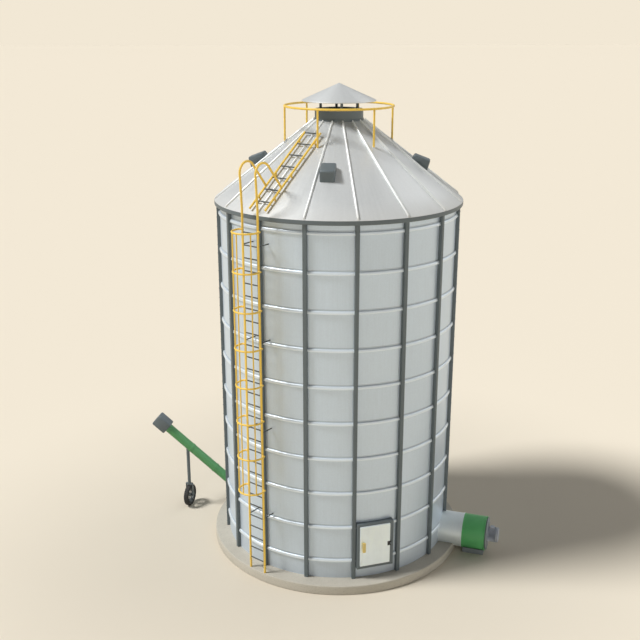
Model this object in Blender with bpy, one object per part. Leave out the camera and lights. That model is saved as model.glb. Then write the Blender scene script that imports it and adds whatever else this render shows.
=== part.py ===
"""Grain silo: ribbed steel wall on a round concrete pad, cone roof, caged ladder, fan and auger.

Metres, +Z up. The origin is the centre of the pad's underside. An azimuth is in degrees, from -Y
towards +X, so the silo's front, with its door, faces about -Y.
"""
import math

import bmesh
import bpy
from mathutils import Vector

GAP = 0.0003
UP = Vector((0.0, 0.0, 1.0))

# Pad and wall
PAD_R = 3.395
PAD_H = 0.25
PAD_BEVEL = 0.03
PAD_SIDES = 64
WALL_R = 3.0
WALL_T = 0.03
WALL_TOP = 9.29
FACET = 11.25
BAY = 45.0
RING_COUNT = 10
RING_TOP_Z = 9.088
RING_PITCH = 0.9264
RING_OUT = 0.055
RING_FOOT = 0.04
RING_CREST = 0.025

# Stiffener posts
POST_COUNT = 16
POST_PITCH = 360.0 / POST_COUNT
POST_W = 0.098
POST_D = 0.085

# Eave, roof and peak
EAVE_R = 3.13
EAVE_H = 0.086
ROOF_EDGE_Z = WALL_TOP + 0.11
ROOF_TOP_R = 0.63
ROOF_SLOPE = 0.767
ROOF_T = 0.04
ROOF_HOLE_R = 0.50
RIB_W = 0.056
RIB_H = 0.055
RIB_ENDS = (EAVE_R - 0.008, ROOF_TOP_R + 0.02)
COLLAR_R = 0.60
COLLAR_TOP_Z = 11.588
COLLAR_T = 0.035
COLLAR_HOLE_R = 0.40
CAP_R = 0.92
CAP_Z = 11.768
CAP_TIP_Z = 12.203
CAP_LIP = 0.027
CAP_T = 0.035
CAP_PLATE = 0.02
CAP_LEG_R = 0.457
CAP_LEG_W = 0.06
HANDRAIL_R = 1.346
HANDRAIL_Z = 11.659
HANDRAIL_POSTS = 6
HANDRAIL_POST_R = 0.025
HANDRAIL_STEPS = 36
HANDRAIL_TURN = -30.0
VENT_AZIMUTH = -15.0
VENT_W = 0.35
VENT_LINE = (
    (1.835, 0.0), (1.835, 10.433), (1.895, 10.518),
    (2.265, 10.380), (2.278, 10.345), (2.20, 0.0),
)

# Ladder
LADDER_AZIMUTH = -45.0
STILE_X = 0.236
STILE_R = 3.341
TUBE_R = 0.0275
STILE_TOP_Z = 9.5
RUNG_COUNT = 29
RUNG_PITCH = 0.3026
RUNG_R = 0.016
STAND_OFF_Z = (8.739, 6.412, 4.132, 1.793)
STAND_OFF_R = 0.015
STAND_OFF_INSIDE = 0.1
CAGE_HOOPS = 8
CAGE_CENTRE_R = 3.46
CAGE_R = 0.325
CAGE_OPEN = 112.0
CAGE_STEPS = 10
HOOP_R = 0.021
STRAP_R = 0.017
STRAP_SIDES = 4
STRAP_TURNS = (-60.0, -30.0, 0.0, 30.0, 60.0)
ROOF_RAIL_LIFT = 0.09
ROOF_RAIL_ENDS = (3.08, 1.05)
ROOF_RUNG_START = 2.88
ROOF_RUNG_PITCH = 0.297
ROOF_RUNG_COUNT = 7
ROOF_FOOT_AT = (2.73, 2.13, 1.25)
ROOF_FOOT_R = 0.018
GRAB_FOOT = 0.08
GRAB_LEAN = 0.045
GRAB_ARC_Z = 10.293
GRAB_ARC_R = 0.317
GRAB_ARC_TURN = 156.0
GRAB_END_R = 2.50
GRAB_STEPS = 12

# Door
DOOR_AZIMUTH = 10.15
FRAME_HALF = 0.4795
FRAME_Z = (0.542, 1.798)
FRAME_FACE = 3.10
FRAME_BACK = 2.93
DOORWAY_HALF = 0.36
DOORWAY_Z = (0.66, 1.665)
DOORWAY_CUT = 0.1
PANEL_SPAN = (-0.415, 0.375)
PANEL_Z = (0.638, 1.733)
PANEL_GAP = 0.0053
PANEL_FACE = 3.14
HINGE_OFFSET = 0.391
HINGE_FACE = 3.145
KNUCKLE_R = 0.013
KNUCKLE_SIDES = 12
KNUCKLE_Z = (1.122, 1.150, 1.210, 1.238)
KNUCKLE_GAP = 0.0005
LEAF_W = 0.06
LEAF_T = 0.01
HINGE_BLOCK = (-0.002, 0.044)
HANDLE_OFFSET = -0.325
HANDLE_HALF = 0.04
HANDLE_DEPTH = (0.03, 0.055)
HANDLE_Z = (1.048, 1.318)
HANDLE_FOOT_HALF = 0.025
HANDLE_FOOT_Z = (0.015, 0.055)

# Fan
FAN_AZIMUTH = 65.3
DUCT_R = 0.45
DUCT_START = 2.75
DUCT_END = 3.575
DUCT_LAP = 0.01
DUCT_SIDES = 32
FLANGE_END = 3.603
FLANGE_R = 0.458
FAN_Z = 0.497
DRUM_R = 0.462
DRUM_END = 4.205
DRUM_EDGE = 0.015
DRUM_SIDES = 32
MOTOR_LINE = (
    (0.38, 0.0), (0.38, 0.02), (0.435, 0.02), (0.435, 0.045),
    (0.20, 0.045), (0.20, 0.30), (0.16, 0.335),
)
MOTOR_SIDES = 24
SADDLE_RADIAL = (FLANGE_END + 0.03, DRUM_END - 0.02)
SADDLE_HALF = 0.30
SADDLE_H = 0.14

# Auger
AUGER_WALL_AZIMUTH = -116.3
AUGER_WALL_Z = 0.663
AUGER_SLOPE = 0.8647
AUGER_R = 0.125
AUGER_SIDES = 24
AUGER_INSIDE = 0.3
WHEEL_AZIMUTH = -112.8
WHEEL_PATH_R = 4.487
WHEEL_R = 0.32
AXLE_R = 0.02
AXLE_BORE_R = 0.0208
AXLE_SIDES = 16
RIM_R = 0.23
RIM_T = 0.03
RIM_HALF_W = 0.05
SPOKES = 6
SPOKE_R = 0.012
HUB_R = 0.05
HUB_HALF_W = 0.06
TYRE_HALF_W = 0.075
TREAD_HALF_W = 0.04
TYRE_EDGE = 0.03
TYRE_SIDES = 32
HEAD_AT = 2.217
HEAD_LENGTH = 0.37
HEAD_DEPTH = 0.435
HEAD_WIDTH = 0.40
HEAD_EDGE = 0.035
LEG_R = 0.047
LEG_SIDES = 12
TINE_GAP = 0.012
TINE_T = 0.02
TINE_HALF = 0.03
TINE_BELOW = 0.035
CROWN_HALF = 0.04
CROWN_T = 0.048

# Finish: base colour, roughness, metallic
FINISHES = {
    "galvanised": ((0.55, 0.57, 0.57), 0.45, 0.7),
    "roof_sheet": ((0.52, 0.54, 0.53), 0.40, 0.7),
    "dark_steel": ((0.10, 0.115, 0.12), 0.50, 0.3),
    "safety_yellow": ((0.78, 0.45, 0.06), 0.45, 0.0),
    "green_paint": ((0.07, 0.27, 0.09), 0.45, 0.0),
    "door_paint": ((0.60, 0.62, 0.58), 0.40, 0.1),
    "concrete": ((0.46, 0.42, 0.35), 0.90, 0.0),
    "rubber": ((0.02, 0.02, 0.02), 0.80, 0.0),
}


def clear_scene():
    for item in list(bpy.data.objects):
        bpy.data.objects.remove(item, do_unlink=True)


def outward(azimuth):
    """Unit vector from the silo's axis towards an azimuth."""
    turn = math.radians(azimuth)
    return Vector((math.sin(turn), -math.cos(turn), 0.0))


def sideways(azimuth):
    """Unit vector to the right of an azimuth, seen from outside."""
    turn = math.radians(azimuth)
    return Vector((math.cos(turn), math.sin(turn), 0.0))


def place(azimuth, radial, lateral, z):
    return outward(azimuth) * radial + sideways(azimuth) * lateral + UP * z


def roof_z(radial):
    """Height of the roof's sheet along a line of ribs."""
    return ROOF_EDGE_Z + ROOF_SLOPE * (EAVE_R - radial)


def facet_z(point, middle):
    """Height at a point of the plane of the roof facet whose middle has this azimuth."""
    reach = point.dot(outward(middle)) / math.cos(math.radians(FACET / 2.0))
    return roof_z(reach)


def loft(bm, loops, closed=False):
    """Solid through loops of equally many points, capped at both ends unless it closes on itself."""
    rings = [[bm.verts.new(point) for point in loop] for loop in loops]
    pairs = list(zip(rings, rings[1:]))
    if closed:
        pairs.append((rings[-1], rings[0]))
    else:
        bm.faces.new(rings[0])
        bm.faces.new(rings[-1])
    for first, second in pairs:
        for index in range(len(first)):
            after = (index + 1) % len(first)
            bm.faces.new((first[index], first[after], second[after], second[index]))


def lathe(bm, profile, sides, closed=False, origin=Vector(), axis=UP, start=None):
    """Turned solid through (radius, height) points; a first or last radius of 0 is a pole."""
    first = start if start is not None else outward(0.0)
    second = axis.cross(first)
    rings = []
    for radius, height in profile:
        centre = origin + axis * height
        if radius == 0.0:
            rings.append([bm.verts.new(centre)])
            continue
        turns = [2.0 * math.pi * index / sides for index in range(sides)]
        rings.append([bm.verts.new(centre + (first * math.cos(turn) + second * math.sin(turn)) * radius)
                      for turn in turns])
    pairs = list(zip(rings, rings[1:]))
    if closed:
        pairs.append((rings[-1], rings[0]))
    for low, high in pairs:
        for index in range(sides):
            after = (index + 1) % sides
            if len(low) == 1:
                bm.faces.new((low[0], high[after], high[index]))
            elif len(high) == 1:
                bm.faces.new((low[index], low[after], high[0]))
            else:
                bm.faces.new((low[index], low[after], high[after], high[index]))
    if not closed:
        for ring in (rings[0], rings[-1]):
            if len(ring) > 1:
                bm.faces.new(ring)


def block(bm, azimuth, radial, lateral, z):
    """Box between two radial distances, two lateral offsets and two heights."""
    loops = []
    for side in lateral:
        corners = ((radial[0], z[0]), (radial[1], z[0]), (radial[1], z[1]), (radial[0], z[1]))
        loops.append([place(azimuth, reach, side, height) for reach, height in corners])
    loft(bm, loops)


def tube(bm, path, radius, sides, flat, closed=False):
    """Bar of constant section along a path in the plane whose normal is flat, mitred at its bends."""
    reach = radius / math.cos(math.pi / sides)
    loops = []
    for index, point in enumerate(path):
        steps = []
        if closed or index > 0:
            steps.append((point - path[index - 1]).normalized())
        if closed or index < len(path) - 1:
            steps.append((path[(index + 1) % len(path)] - point).normalized())
        normals = [step.cross(flat) for step in steps]
        aside = sum(normals, Vector()).normalized()
        stretch = reach / aside.dot(normals[0])
        turns = [2.0 * math.pi * (corner + 0.5) / sides for corner in range(sides)]
        loops.append([point + aside * (stretch * math.cos(turn)) + flat * (reach * math.sin(turn))
                      for turn in turns])
    loft(bm, loops, closed)


def finish_of(name, finish):
    colour, roughness, metallic = FINISHES[finish]
    material = bpy.data.materials.new(name)
    material.use_nodes = True
    shader = material.node_tree.nodes["Principled BSDF"]
    shader.inputs["Base Color"].default_value = (*colour, 1.0)
    shader.inputs["Roughness"].default_value = roughness
    shader.inputs["Metallic"].default_value = metallic
    return material


def make_object(name, bm):
    bmesh.ops.recalc_face_normals(bm, faces=bm.faces)
    mesh = bpy.data.meshes.new(name)
    bm.to_mesh(mesh)
    bm.free()
    item = bpy.data.objects.new(name, mesh)
    bpy.context.scene.collection.objects.link(item)
    return item


def node(name, bm, finish, smooth=False):
    item = make_object(name, bm)
    item.data.materials.append(finish_of(name, finish))
    if smooth:
        item.data.shade_smooth()
        item.data.set_sharp_from_angle(angle=math.radians(35.0))
    return item


def guide(name, bm):
    """Helper shape, kept out of the model."""
    item = make_object(name, bm)
    item.hide_render = True
    item.display_type = "WIRE"
    return item


def combine(item, other, operation):
    step = item.modifiers.new(other.name, "BOOLEAN")
    step.operation = operation
    step.solver = "EXACT"
    step.object = other


def clipped(line, low, high):
    """The stretch of an upward (radius, height) line between two heights."""
    kept = []
    for (r0, z0), (r1, z1) in zip(line, line[1:]):
        if z1 <= low or z0 >= high:
            continue
        for z in (max(z0, low), min(z1, high)):
            if not kept or z - kept[-1][1] > GAP / 10.0:
                kept.append((r0 + (r1 - r0) * (z - z0) / (z1 - z0), z))
    return kept


def wall_line(low, high, gap=0.0):
    """Outer face of the wall with its rings, from low to high, pushed out by a gap."""
    face = WALL_R + gap
    crest = face + RING_OUT
    line = [(face, 0.0)]
    for index in reversed(range(RING_COUNT)):
        z = RING_TOP_Z - RING_PITCH * index
        line.append((face, z - RING_FOOT - 2.0 * gap))
        line.append((crest, z - RING_CREST - 2.0 * gap))
        line.append((crest, z + RING_CREST + 2.0 * gap))
        line.append((face, z + RING_FOOT + 2.0 * gap))
    line.append((face, 2.0 * high))
    return clipped(line, low, high)


def wall_outline(low, high):
    inner = WALL_R - WALL_T
    return wall_line(low, high) + [(inner, high), (inner, low)]


def wall_space():
    """Everything inside the wall's outer face, a hair larger."""
    bm = bmesh.new()
    lathe(bm, wall_line(PAD_H / 2.0, WALL_TOP, GAP), round(360.0 / FACET))
    return guide("wall_space", bm)


def door_edge(first, offset, radius, z):
    """Point where the facet after an azimuth crosses the plane at this offset from the door's middle."""
    start = place(first, radius, 0.0, z)
    end = place(first + FACET, radius, 0.0, z)
    across = sideways(DOOR_AZIMUTH)
    share = (offset - start.dot(across)) / (end - start).dot(across)
    return start.lerp(end, share)


def pad():
    bm = bmesh.new()
    profile = [(PAD_R, 0.0), (PAD_R, PAD_H - PAD_BEVEL), (PAD_R - PAD_BEVEL, PAD_H)]
    lathe(bm, profile, PAD_SIDES)
    node("concrete_pad", bm, "concrete")


def wall_segment(name, azimuths, low=PAD_H + GAP, high=WALL_TOP):
    bm = bmesh.new()
    outline = wall_outline(low, high)
    loft(bm, [[place(azimuth, radius, 0.0, z) for radius, z in outline] for azimuth in azimuths])
    node(name, bm, "galvanised")


def walls():
    """Seven segments with their seams under the posts; the eighth bay is split around the door."""
    seam = math.degrees(GAP / 2.0 / WALL_R)
    names = ("front_right", "right", "back_right", "back", "back_left", "left", "front_left")
    for index, name in enumerate(names):
        start = BAY / 2.0 + BAY * index
        azimuths = [start + FACET * step for step in range(5)]
        azimuths[0] += seam
        azimuths[-1] -= seam
        wall_segment("wall_" + name, azimuths)


def door_bay():
    seam = math.degrees(GAP / 2.0 / WALL_R)
    full = wall_outline(PAD_H + GAP, WALL_TOP)
    beside = FRAME_HALF + GAP

    bm = bmesh.new()
    azimuths = (seam - BAY / 2.0, -FACET, 0.0)
    loops = [[place(azimuth, radius, 0.0, z) for radius, z in full] for azimuth in azimuths]
    loops.append([door_edge(0.0, -beside, radius, z) for radius, z in full])
    loft(bm, loops)
    node("wall_left_of_door", bm, "galvanised")

    bm = bmesh.new()
    loops = [[door_edge(FACET, beside, radius, z) for radius, z in full],
             [place(BAY / 2.0 - seam, radius, 0.0, z) for radius, z in full]]
    loft(bm, loops)
    node("wall_right_of_door", bm, "galvanised")

    stretches = {
        "wall_over_door": (FRAME_Z[1] + GAP, WALL_TOP),
        "wall_under_door": (PAD_H + GAP, FRAME_Z[0] - GAP),
    }
    for name, (low, high) in stretches.items():
        outline = wall_outline(low, high)
        bm = bmesh.new()
        loops = [[door_edge(0.0, -FRAME_HALF, radius, z) for radius, z in outline],
                 [place(FACET, radius, 0.0, z) for radius, z in outline],
                 [door_edge(FACET, FRAME_HALF, radius, z) for radius, z in outline]]
        loft(bm, loops)
        node(name, bm, "galvanised")


def stiffeners():
    """Posts over the rings, notched round them; the one over the fan stops on its duct."""
    over_fan = round(FAN_AZIMUTH / POST_PITCH)
    for index in range(POST_COUNT):
        low = FAN_Z if index == over_fan else PAD_H + GAP
        high = WALL_TOP
        outline = wall_line(low, high, GAP) + [(WALL_R + POST_D, high), (WALL_R + POST_D, low)]
        azimuth = POST_PITCH * index
        bm = bmesh.new()
        loft(bm, [[place(azimuth, radius, side, z) for radius, z in outline]
                  for side in (-POST_W / 2.0, POST_W / 2.0)])
        post = node("stiffener_post_%02d" % (index + 1), bm, "dark_steel")
        if index == over_fan:
            room = fan_turned([(DUCT_R + GAP, DUCT_START), (DUCT_R + GAP, DUCT_END)], DUCT_SIDES)
            combine(post, guide("duct_room", room), "DIFFERENCE")


def eave_band():
    bm = bmesh.new()
    low = WALL_TOP + GAP
    high = WALL_TOP + EAVE_H
    inner = WALL_R - WALL_T
    profile = [(EAVE_R, low), (EAVE_R, high), (inner, high), (inner, low)]
    lathe(bm, profile, round(360.0 / FACET), closed=True)
    node("eave_band", bm, "dark_steel")


def roof():
    """Cone of flat sheets with a flat seat at its edge and its top, and a rib on every second corner."""
    low = WALL_TOP + EAVE_H + GAP
    inner = WALL_R - WALL_T
    top = roof_z(ROOF_TOP_R)
    profile = [(EAVE_R, low), (EAVE_R, ROOF_EDGE_Z), (ROOF_TOP_R, top), (ROOF_HOLE_R, top),
               (ROOF_HOLE_R, top - ROOF_T), (inner, roof_z(inner) - ROOF_T), (inner, low)]
    bm = bmesh.new()
    lathe(bm, profile, round(360.0 / FACET), closed=True)
    sheets = node("roof", bm, "roof_sheet")

    bm = bmesh.new()
    start, end = RIB_ENDS
    outline = [(start, roof_z(start) - ROOF_T / 2.0), (start, roof_z(start) + RIB_H),
               (end, roof_z(end) + RIB_H), (end, roof_z(end) - ROOF_T / 2.0)]
    for index in range(POST_COUNT):
        loft(bm, [[place(POST_PITCH * index, radius, side, z) for radius, z in outline]
                  for side in (-RIB_W / 2.0, RIB_W / 2.0)])
    combine(sheets, guide("roof_ribs", bm), "UNION")


def peak():
    """Collar on the roof's top seat, with four legs that carry the rain cap."""
    sides = round(360.0 / FACET)
    low = roof_z(ROOF_TOP_R) + GAP
    bm = bmesh.new()
    inner = COLLAR_R - COLLAR_T
    profile = [(COLLAR_R, low), (COLLAR_R, COLLAR_TOP_Z), (COLLAR_HOLE_R, COLLAR_TOP_Z),
               (COLLAR_HOLE_R, COLLAR_TOP_Z - COLLAR_T), (inner, COLLAR_TOP_Z - COLLAR_T), (inner, low)]
    lathe(bm, profile, sides, closed=True)
    collar = node("peak_collar", bm, "dark_steel", smooth=True)
    bm = bmesh.new()
    half = CAP_LEG_W / 2.0
    for azimuth in (0.0, 90.0, 180.0, 270.0):
        block(bm, azimuth, (CAP_LEG_R - half, CAP_LEG_R + half), (-half, half),
              (COLLAR_TOP_Z - COLLAR_T / 2.0, CAP_Z - GAP))
    combine(collar, guide("cap_legs", bm), "UNION")

    bm = bmesh.new()
    slope = (CAP_TIP_Z - CAP_Z - CAP_LIP) / CAP_R
    inner_tip = CAP_TIP_Z - CAP_T
    inner_r = (inner_tip - CAP_Z - CAP_PLATE) / slope
    profile = [(0.0, CAP_TIP_Z), (CAP_R, CAP_Z + CAP_LIP), (CAP_R, CAP_Z), (COLLAR_HOLE_R, CAP_Z),
               (COLLAR_HOLE_R, CAP_Z + CAP_PLATE), (inner_r, CAP_Z + CAP_PLATE), (0.0, inner_tip)]
    lathe(bm, profile, sides)
    node("peak_cap", bm, "roof_sheet", smooth=True)


def post_on_roof(bm, azimuth, radial, lateral, radius, top, on_rib=False, sides=8):
    """Upright round post whose foot follows the roof."""
    foot, head = [], []
    for corner in range(sides):
        turn = 2.0 * math.pi * (corner + 0.5) / sides
        point = place(azimuth, radial + radius * math.cos(turn), lateral + radius * math.sin(turn), 0.0)
        middle = place(azimuth, radial, lateral, 0.0)
        if on_rib:
            height = roof_z(point.dot(outward(azimuth))) + RIB_H
        else:
            facet = (math.floor(math.degrees(math.atan2(middle.x, -middle.y)) / FACET) + 0.5) * FACET
            height = facet_z(point, facet)
        foot.append(point + UP * (height + GAP))
        head.append(point + UP * top)
    loft(bm, [foot, head])


def handrail():
    bm = bmesh.new()
    pitch = 360.0 / HANDRAIL_STEPS
    path = [place(pitch * step, HANDRAIL_R, 0.0, HANDRAIL_Z) for step in range(HANDRAIL_STEPS)]
    tube(bm, path, TUBE_R, 8, UP, closed=True)
    rail = node("peak_handrail", bm, "safety_yellow", smooth=True)
    bm = bmesh.new()
    for index in range(HANDRAIL_POSTS):
        azimuth = HANDRAIL_TURN + 360.0 / HANDRAIL_POSTS * index
        on_rib = azimuth % POST_PITCH == 0.0
        post_on_roof(bm, azimuth, HANDRAIL_R, 0.0, HANDRAIL_POST_R, HANDRAIL_Z, on_rib)
    combine(rail, guide("handrail_posts", bm), "UNION")


def roof_vents():
    """Four hooded vents, tipped outwards, each standing on one facet."""
    names = ("front", "right", "back", "left")
    facet = (math.floor(VENT_AZIMUTH / FACET) + 0.5) * FACET
    for index, name in enumerate(names):
        turn = 90.0 * index
        loops = []
        for side in (-VENT_W / 2.0, VENT_W / 2.0):
            loop = []
            for radial, z in VENT_LINE:
                point = place(VENT_AZIMUTH + turn, radial, side, z)
                if z == 0.0:
                    point.z = facet_z(point, facet + turn) + GAP
                loop.append(point)
            loops.append(loop)
        bm = bmesh.new()
        loft(bm, loops)
        node("roof_vent_" + name, bm, "dark_steel")


def wall_ladder(inside):
    """Two stiles with their rungs, and rods that hold them off the wall."""
    radial = outward(LADDER_AZIMUTH)
    across = sideways(LADDER_AZIMUTH)
    bm = bmesh.new()
    for side in (-STILE_X, STILE_X):
        path = [place(LADDER_AZIMUTH, STILE_R, side, z) for z in (PAD_H + GAP, STILE_TOP_Z)]
        tube(bm, path, TUBE_R, 8, radial)
    ladder = node("wall_ladder", bm, "safety_yellow", smooth=True)
    bm = bmesh.new()
    for index in range(RUNG_COUNT):
        z = PAD_H + RUNG_PITCH * (index + 1)
        path = [place(LADDER_AZIMUTH, STILE_R, side, z) for side in (-STILE_X, STILE_X)]
        tube(bm, path, RUNG_R, 6, UP)
    reaches = (STILE_R, WALL_R - STAND_OFF_INSIDE)
    for z in STAND_OFF_Z:
        for side in (-STILE_X, STILE_X):
            path = [place(LADDER_AZIMUTH, reach, side, z) for reach in reaches]
            tube(bm, path, STAND_OFF_R, 6, across)
    combine(ladder, guide("rungs_and_stand_offs", bm), "UNION")
    combine(ladder, inside, "DIFFERENCE")


def ladder_cage():
    bm = bmesh.new()
    top = RING_TOP_Z
    bottom = RING_TOP_Z - RING_PITCH * (CAGE_HOOPS - 1)
    for index in range(CAGE_HOOPS):
        z = RING_TOP_Z - RING_PITCH * index
        path = []
        for step in range(CAGE_STEPS + 1):
            turn = math.radians(CAGE_OPEN * (2.0 * step / CAGE_STEPS - 1.0))
            reach = CAGE_CENTRE_R + CAGE_R * math.cos(turn)
            path.append(place(LADDER_AZIMUTH, reach, CAGE_R * math.sin(turn), z))
        edge = STILE_X + TUBE_R + GAP
        end_r = CAGE_CENTRE_R + CAGE_R * math.cos(math.radians(CAGE_OPEN))
        path.insert(0, place(LADDER_AZIMUTH, end_r, -edge, z))
        path.append(place(LADDER_AZIMUTH, end_r, edge, z))
        tube(bm, path, HOOP_R, 6, UP)
    cage = node("ladder_cage", bm, "safety_yellow", smooth=True)
    bm = bmesh.new()
    for turn in STRAP_TURNS:
        reach = CAGE_CENTRE_R + CAGE_R * math.cos(math.radians(turn))
        side = CAGE_R * math.sin(math.radians(turn))
        path = [place(LADDER_AZIMUTH, reach, side, z) for z in (bottom, top)]
        tube(bm, path, STRAP_R, STRAP_SIDES, outward(LADDER_AZIMUTH + turn))
    combine(cage, guide("cage_straps", bm), "UNION")


def roof_rail_z(radial):
    return roof_z(radial) + ROOF_RAIL_LIFT


def roof_ladder():
    across = sideways(LADDER_AZIMUTH)
    bm = bmesh.new()
    for side in (-STILE_X, STILE_X):
        path = [place(LADDER_AZIMUTH, reach, side, roof_rail_z(reach)) for reach in ROOF_RAIL_ENDS]
        tube(bm, path, TUBE_R, 8, across)
    ladder = node("roof_ladder", bm, "safety_yellow", smooth=True)
    bm = bmesh.new()
    for index in range(ROOF_RUNG_COUNT):
        reach = ROOF_RUNG_START - ROOF_RUNG_PITCH * index
        path = [place(LADDER_AZIMUTH, reach, side, roof_rail_z(reach)) for side in (-STILE_X, STILE_X)]
        tube(bm, path, RUNG_R, 6, UP)
    for reach in ROOF_FOOT_AT:
        for side in (-STILE_X, STILE_X):
            post_on_roof(bm, LADDER_AZIMUTH, reach, side, ROOF_FOOT_R, roof_rail_z(reach), sides=6)
    combine(ladder, guide("roof_rungs_and_feet", bm), "UNION")


def roof_rail_space(side, name):
    """Room that a roof rail takes, a hair larger."""
    bm = bmesh.new()
    path = [place(LADDER_AZIMUTH, reach, side, roof_rail_z(reach)) for reach in (EAVE_R, 1.0)]
    tube(bm, path, TUBE_R + GAP, 8, sideways(LADDER_AZIMUTH))
    return guide(name, bm)


def grab_rails():
    """Arched rails from the top of the stiles over the eave and down onto the roof ladder."""
    for name, side in (("left_grab_rail", -STILE_X), ("right_grab_rail", STILE_X)):
        centre_r = STILE_R + GRAB_LEAN - GRAB_ARC_R
        path = [place(LADDER_AZIMUTH, STILE_R, side, STILE_TOP_Z + rise) for rise in (GAP, GRAB_FOOT)]
        for step in range(GRAB_STEPS + 1):
            turn = math.radians(GRAB_ARC_TURN * step / GRAB_STEPS)
            path.append(place(LADDER_AZIMUTH, centre_r + GRAB_ARC_R * math.cos(turn), side,
                              GRAB_ARC_Z + GRAB_ARC_R * math.sin(turn)))
        path.append(place(LADDER_AZIMUTH, GRAB_END_R, side, roof_rail_z(GRAB_END_R)))
        bm = bmesh.new()
        tube(bm, path, TUBE_R, 8, sideways(LADDER_AZIMUTH))
        rail = node(name, bm, "safety_yellow", smooth=True)
        combine(rail, roof_rail_space(side, name + "_seat"), "DIFFERENCE")


def door_frame():
    bm = bmesh.new()
    block(bm, DOOR_AZIMUTH, (FRAME_BACK, FRAME_FACE), (-FRAME_HALF, FRAME_HALF), FRAME_Z)
    frame = node("door_frame", bm, "dark_steel")
    bm = bmesh.new()
    depth = (FRAME_BACK - DOORWAY_CUT, FRAME_FACE + DOORWAY_CUT)
    block(bm, DOOR_AZIMUTH, depth, (-DOORWAY_HALF, DOORWAY_HALF), DOORWAY_Z)
    combine(frame, guide("doorway", bm), "DIFFERENCE")


def door_panel():
    """Panel in front of the frame, with two knuckles at its right edge round the hinge line."""
    bm = bmesh.new()
    block(bm, DOOR_AZIMUTH, (FRAME_FACE + PANEL_GAP, PANEL_FACE), PANEL_SPAN, PANEL_Z)
    panel = node("door_panel", bm, "door_paint")
    depth = (PANEL_FACE - LEAF_T / 2.0, PANEL_FACE + LEAF_T / 2.0)
    spans = ((KNUCKLE_Z[0], KNUCKLE_Z[1] - KNUCKLE_GAP), (KNUCKLE_Z[2] + KNUCKLE_GAP, KNUCKLE_Z[3]))
    for index, span in enumerate(spans):
        bm = bmesh.new()
        block(bm, DOOR_AZIMUTH, depth, (PANEL_SPAN[1] - LEAF_W, HINGE_OFFSET), span)
        combine(panel, guide("hinge_leaf_%d" % index, bm), "UNION")
        combine(panel, knuckle("moving_knuckle_%d" % index, span), "UNION")


def knuckle(name, span):
    bm = bmesh.new()
    line = place(DOOR_AZIMUTH, HINGE_FACE, HINGE_OFFSET, 0.0)
    lathe(bm, [(KNUCKLE_R, z) for z in span], KNUCKLE_SIDES, origin=line)
    return guide(name, bm)


def door_hinge():
    """Block on the frame's right side with the fixed knuckle between the door's two."""
    span = KNUCKLE_Z[1:3]
    bm = bmesh.new()
    lateral = [HINGE_OFFSET + side for side in HINGE_BLOCK]
    block(bm, DOOR_AZIMUTH, (FRAME_FACE + GAP, HINGE_FACE), lateral, span)
    hinge = node("door_hinge", bm, "dark_steel")
    combine(hinge, knuckle("fixed_knuckle", span), "UNION")


def door_handle():
    """Flat pull held off the panel by a foot at each end."""
    bm = bmesh.new()
    depth = [PANEL_FACE + reach for reach in HANDLE_DEPTH]
    lateral = (HANDLE_OFFSET - HANDLE_HALF, HANDLE_OFFSET + HANDLE_HALF)
    block(bm, DOOR_AZIMUTH, depth, lateral, HANDLE_Z)
    handle = node("door_handle", bm, "safety_yellow")
    lateral = (HANDLE_OFFSET - HANDLE_FOOT_HALF, HANDLE_OFFSET + HANDLE_FOOT_HALF)
    near, far = HANDLE_FOOT_Z
    low, high = HANDLE_Z
    for index, span in enumerate(((low + near, low + far), (high - far, high - near))):
        bm = bmesh.new()
        block(bm, DOOR_AZIMUTH, (PANEL_FACE + GAP, sum(depth) / 2.0), lateral, span)
        combine(handle, guide("handle_foot_%d" % index, bm), "UNION")


def fan_duct(inside):
    """Round duct from the wall outwards, flat where it lies on the pad, with a flange at its end."""
    bm = fan_turned([(DUCT_R, DUCT_START), (DUCT_R, DUCT_END)], DUCT_SIDES)
    duct = node("fan_duct", bm, "galvanised", smooth=True)
    bm = fan_turned([(FLANGE_R, DUCT_END - DUCT_LAP), (FLANGE_R, FLANGE_END)], DUCT_SIDES)
    combine(duct, guide("duct_flange", bm), "UNION")
    combine(duct, inside, "DIFFERENCE")
    bm = bmesh.new()
    lathe(bm, [(PAD_R + GAP, -PAD_H), (PAD_R + GAP, PAD_H + GAP)], PAD_SIDES)
    combine(duct, guide("pad_space", bm), "DIFFERENCE")


def fan_turned(profile, sides):
    """Turned solid on the fan's level axis; heights are distances from the silo's axis."""
    bm = bmesh.new()
    lathe(bm, profile, sides, origin=UP * FAN_Z, axis=outward(FAN_AZIMUTH), start=UP)
    return bm


def fan():
    """Drum and motor in line with the duct, and a saddle under the drum."""
    start = FLANGE_END + GAP
    inner = DRUM_R - DRUM_EDGE
    profile = [(inner, start), (DRUM_R, start + DRUM_EDGE),
               (DRUM_R, DRUM_END - DRUM_EDGE), (inner, DRUM_END)]
    node("fan_drum", fan_turned(profile, DRUM_SIDES), "green_paint", smooth=True)

    profile = [(radius, DRUM_END + GAP + reach) for radius, reach in MOTOR_LINE]
    node("fan_motor", fan_turned(profile, MOTOR_SIDES), "dark_steel", smooth=True)

    bm = bmesh.new()
    block(bm, FAN_AZIMUTH, SADDLE_RADIAL, (-SADDLE_HALF, SADDLE_HALF), (0.0, SADDLE_H))
    base = node("fan_base", bm, "dark_steel")
    profile = [(DRUM_R + GAP, FLANGE_END - DRUM_R), (DRUM_R + GAP, DRUM_END + DRUM_R)]
    combine(base, guide("drum_room", fan_turned(profile, DRUM_SIDES)), "DIFFERENCE")


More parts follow.
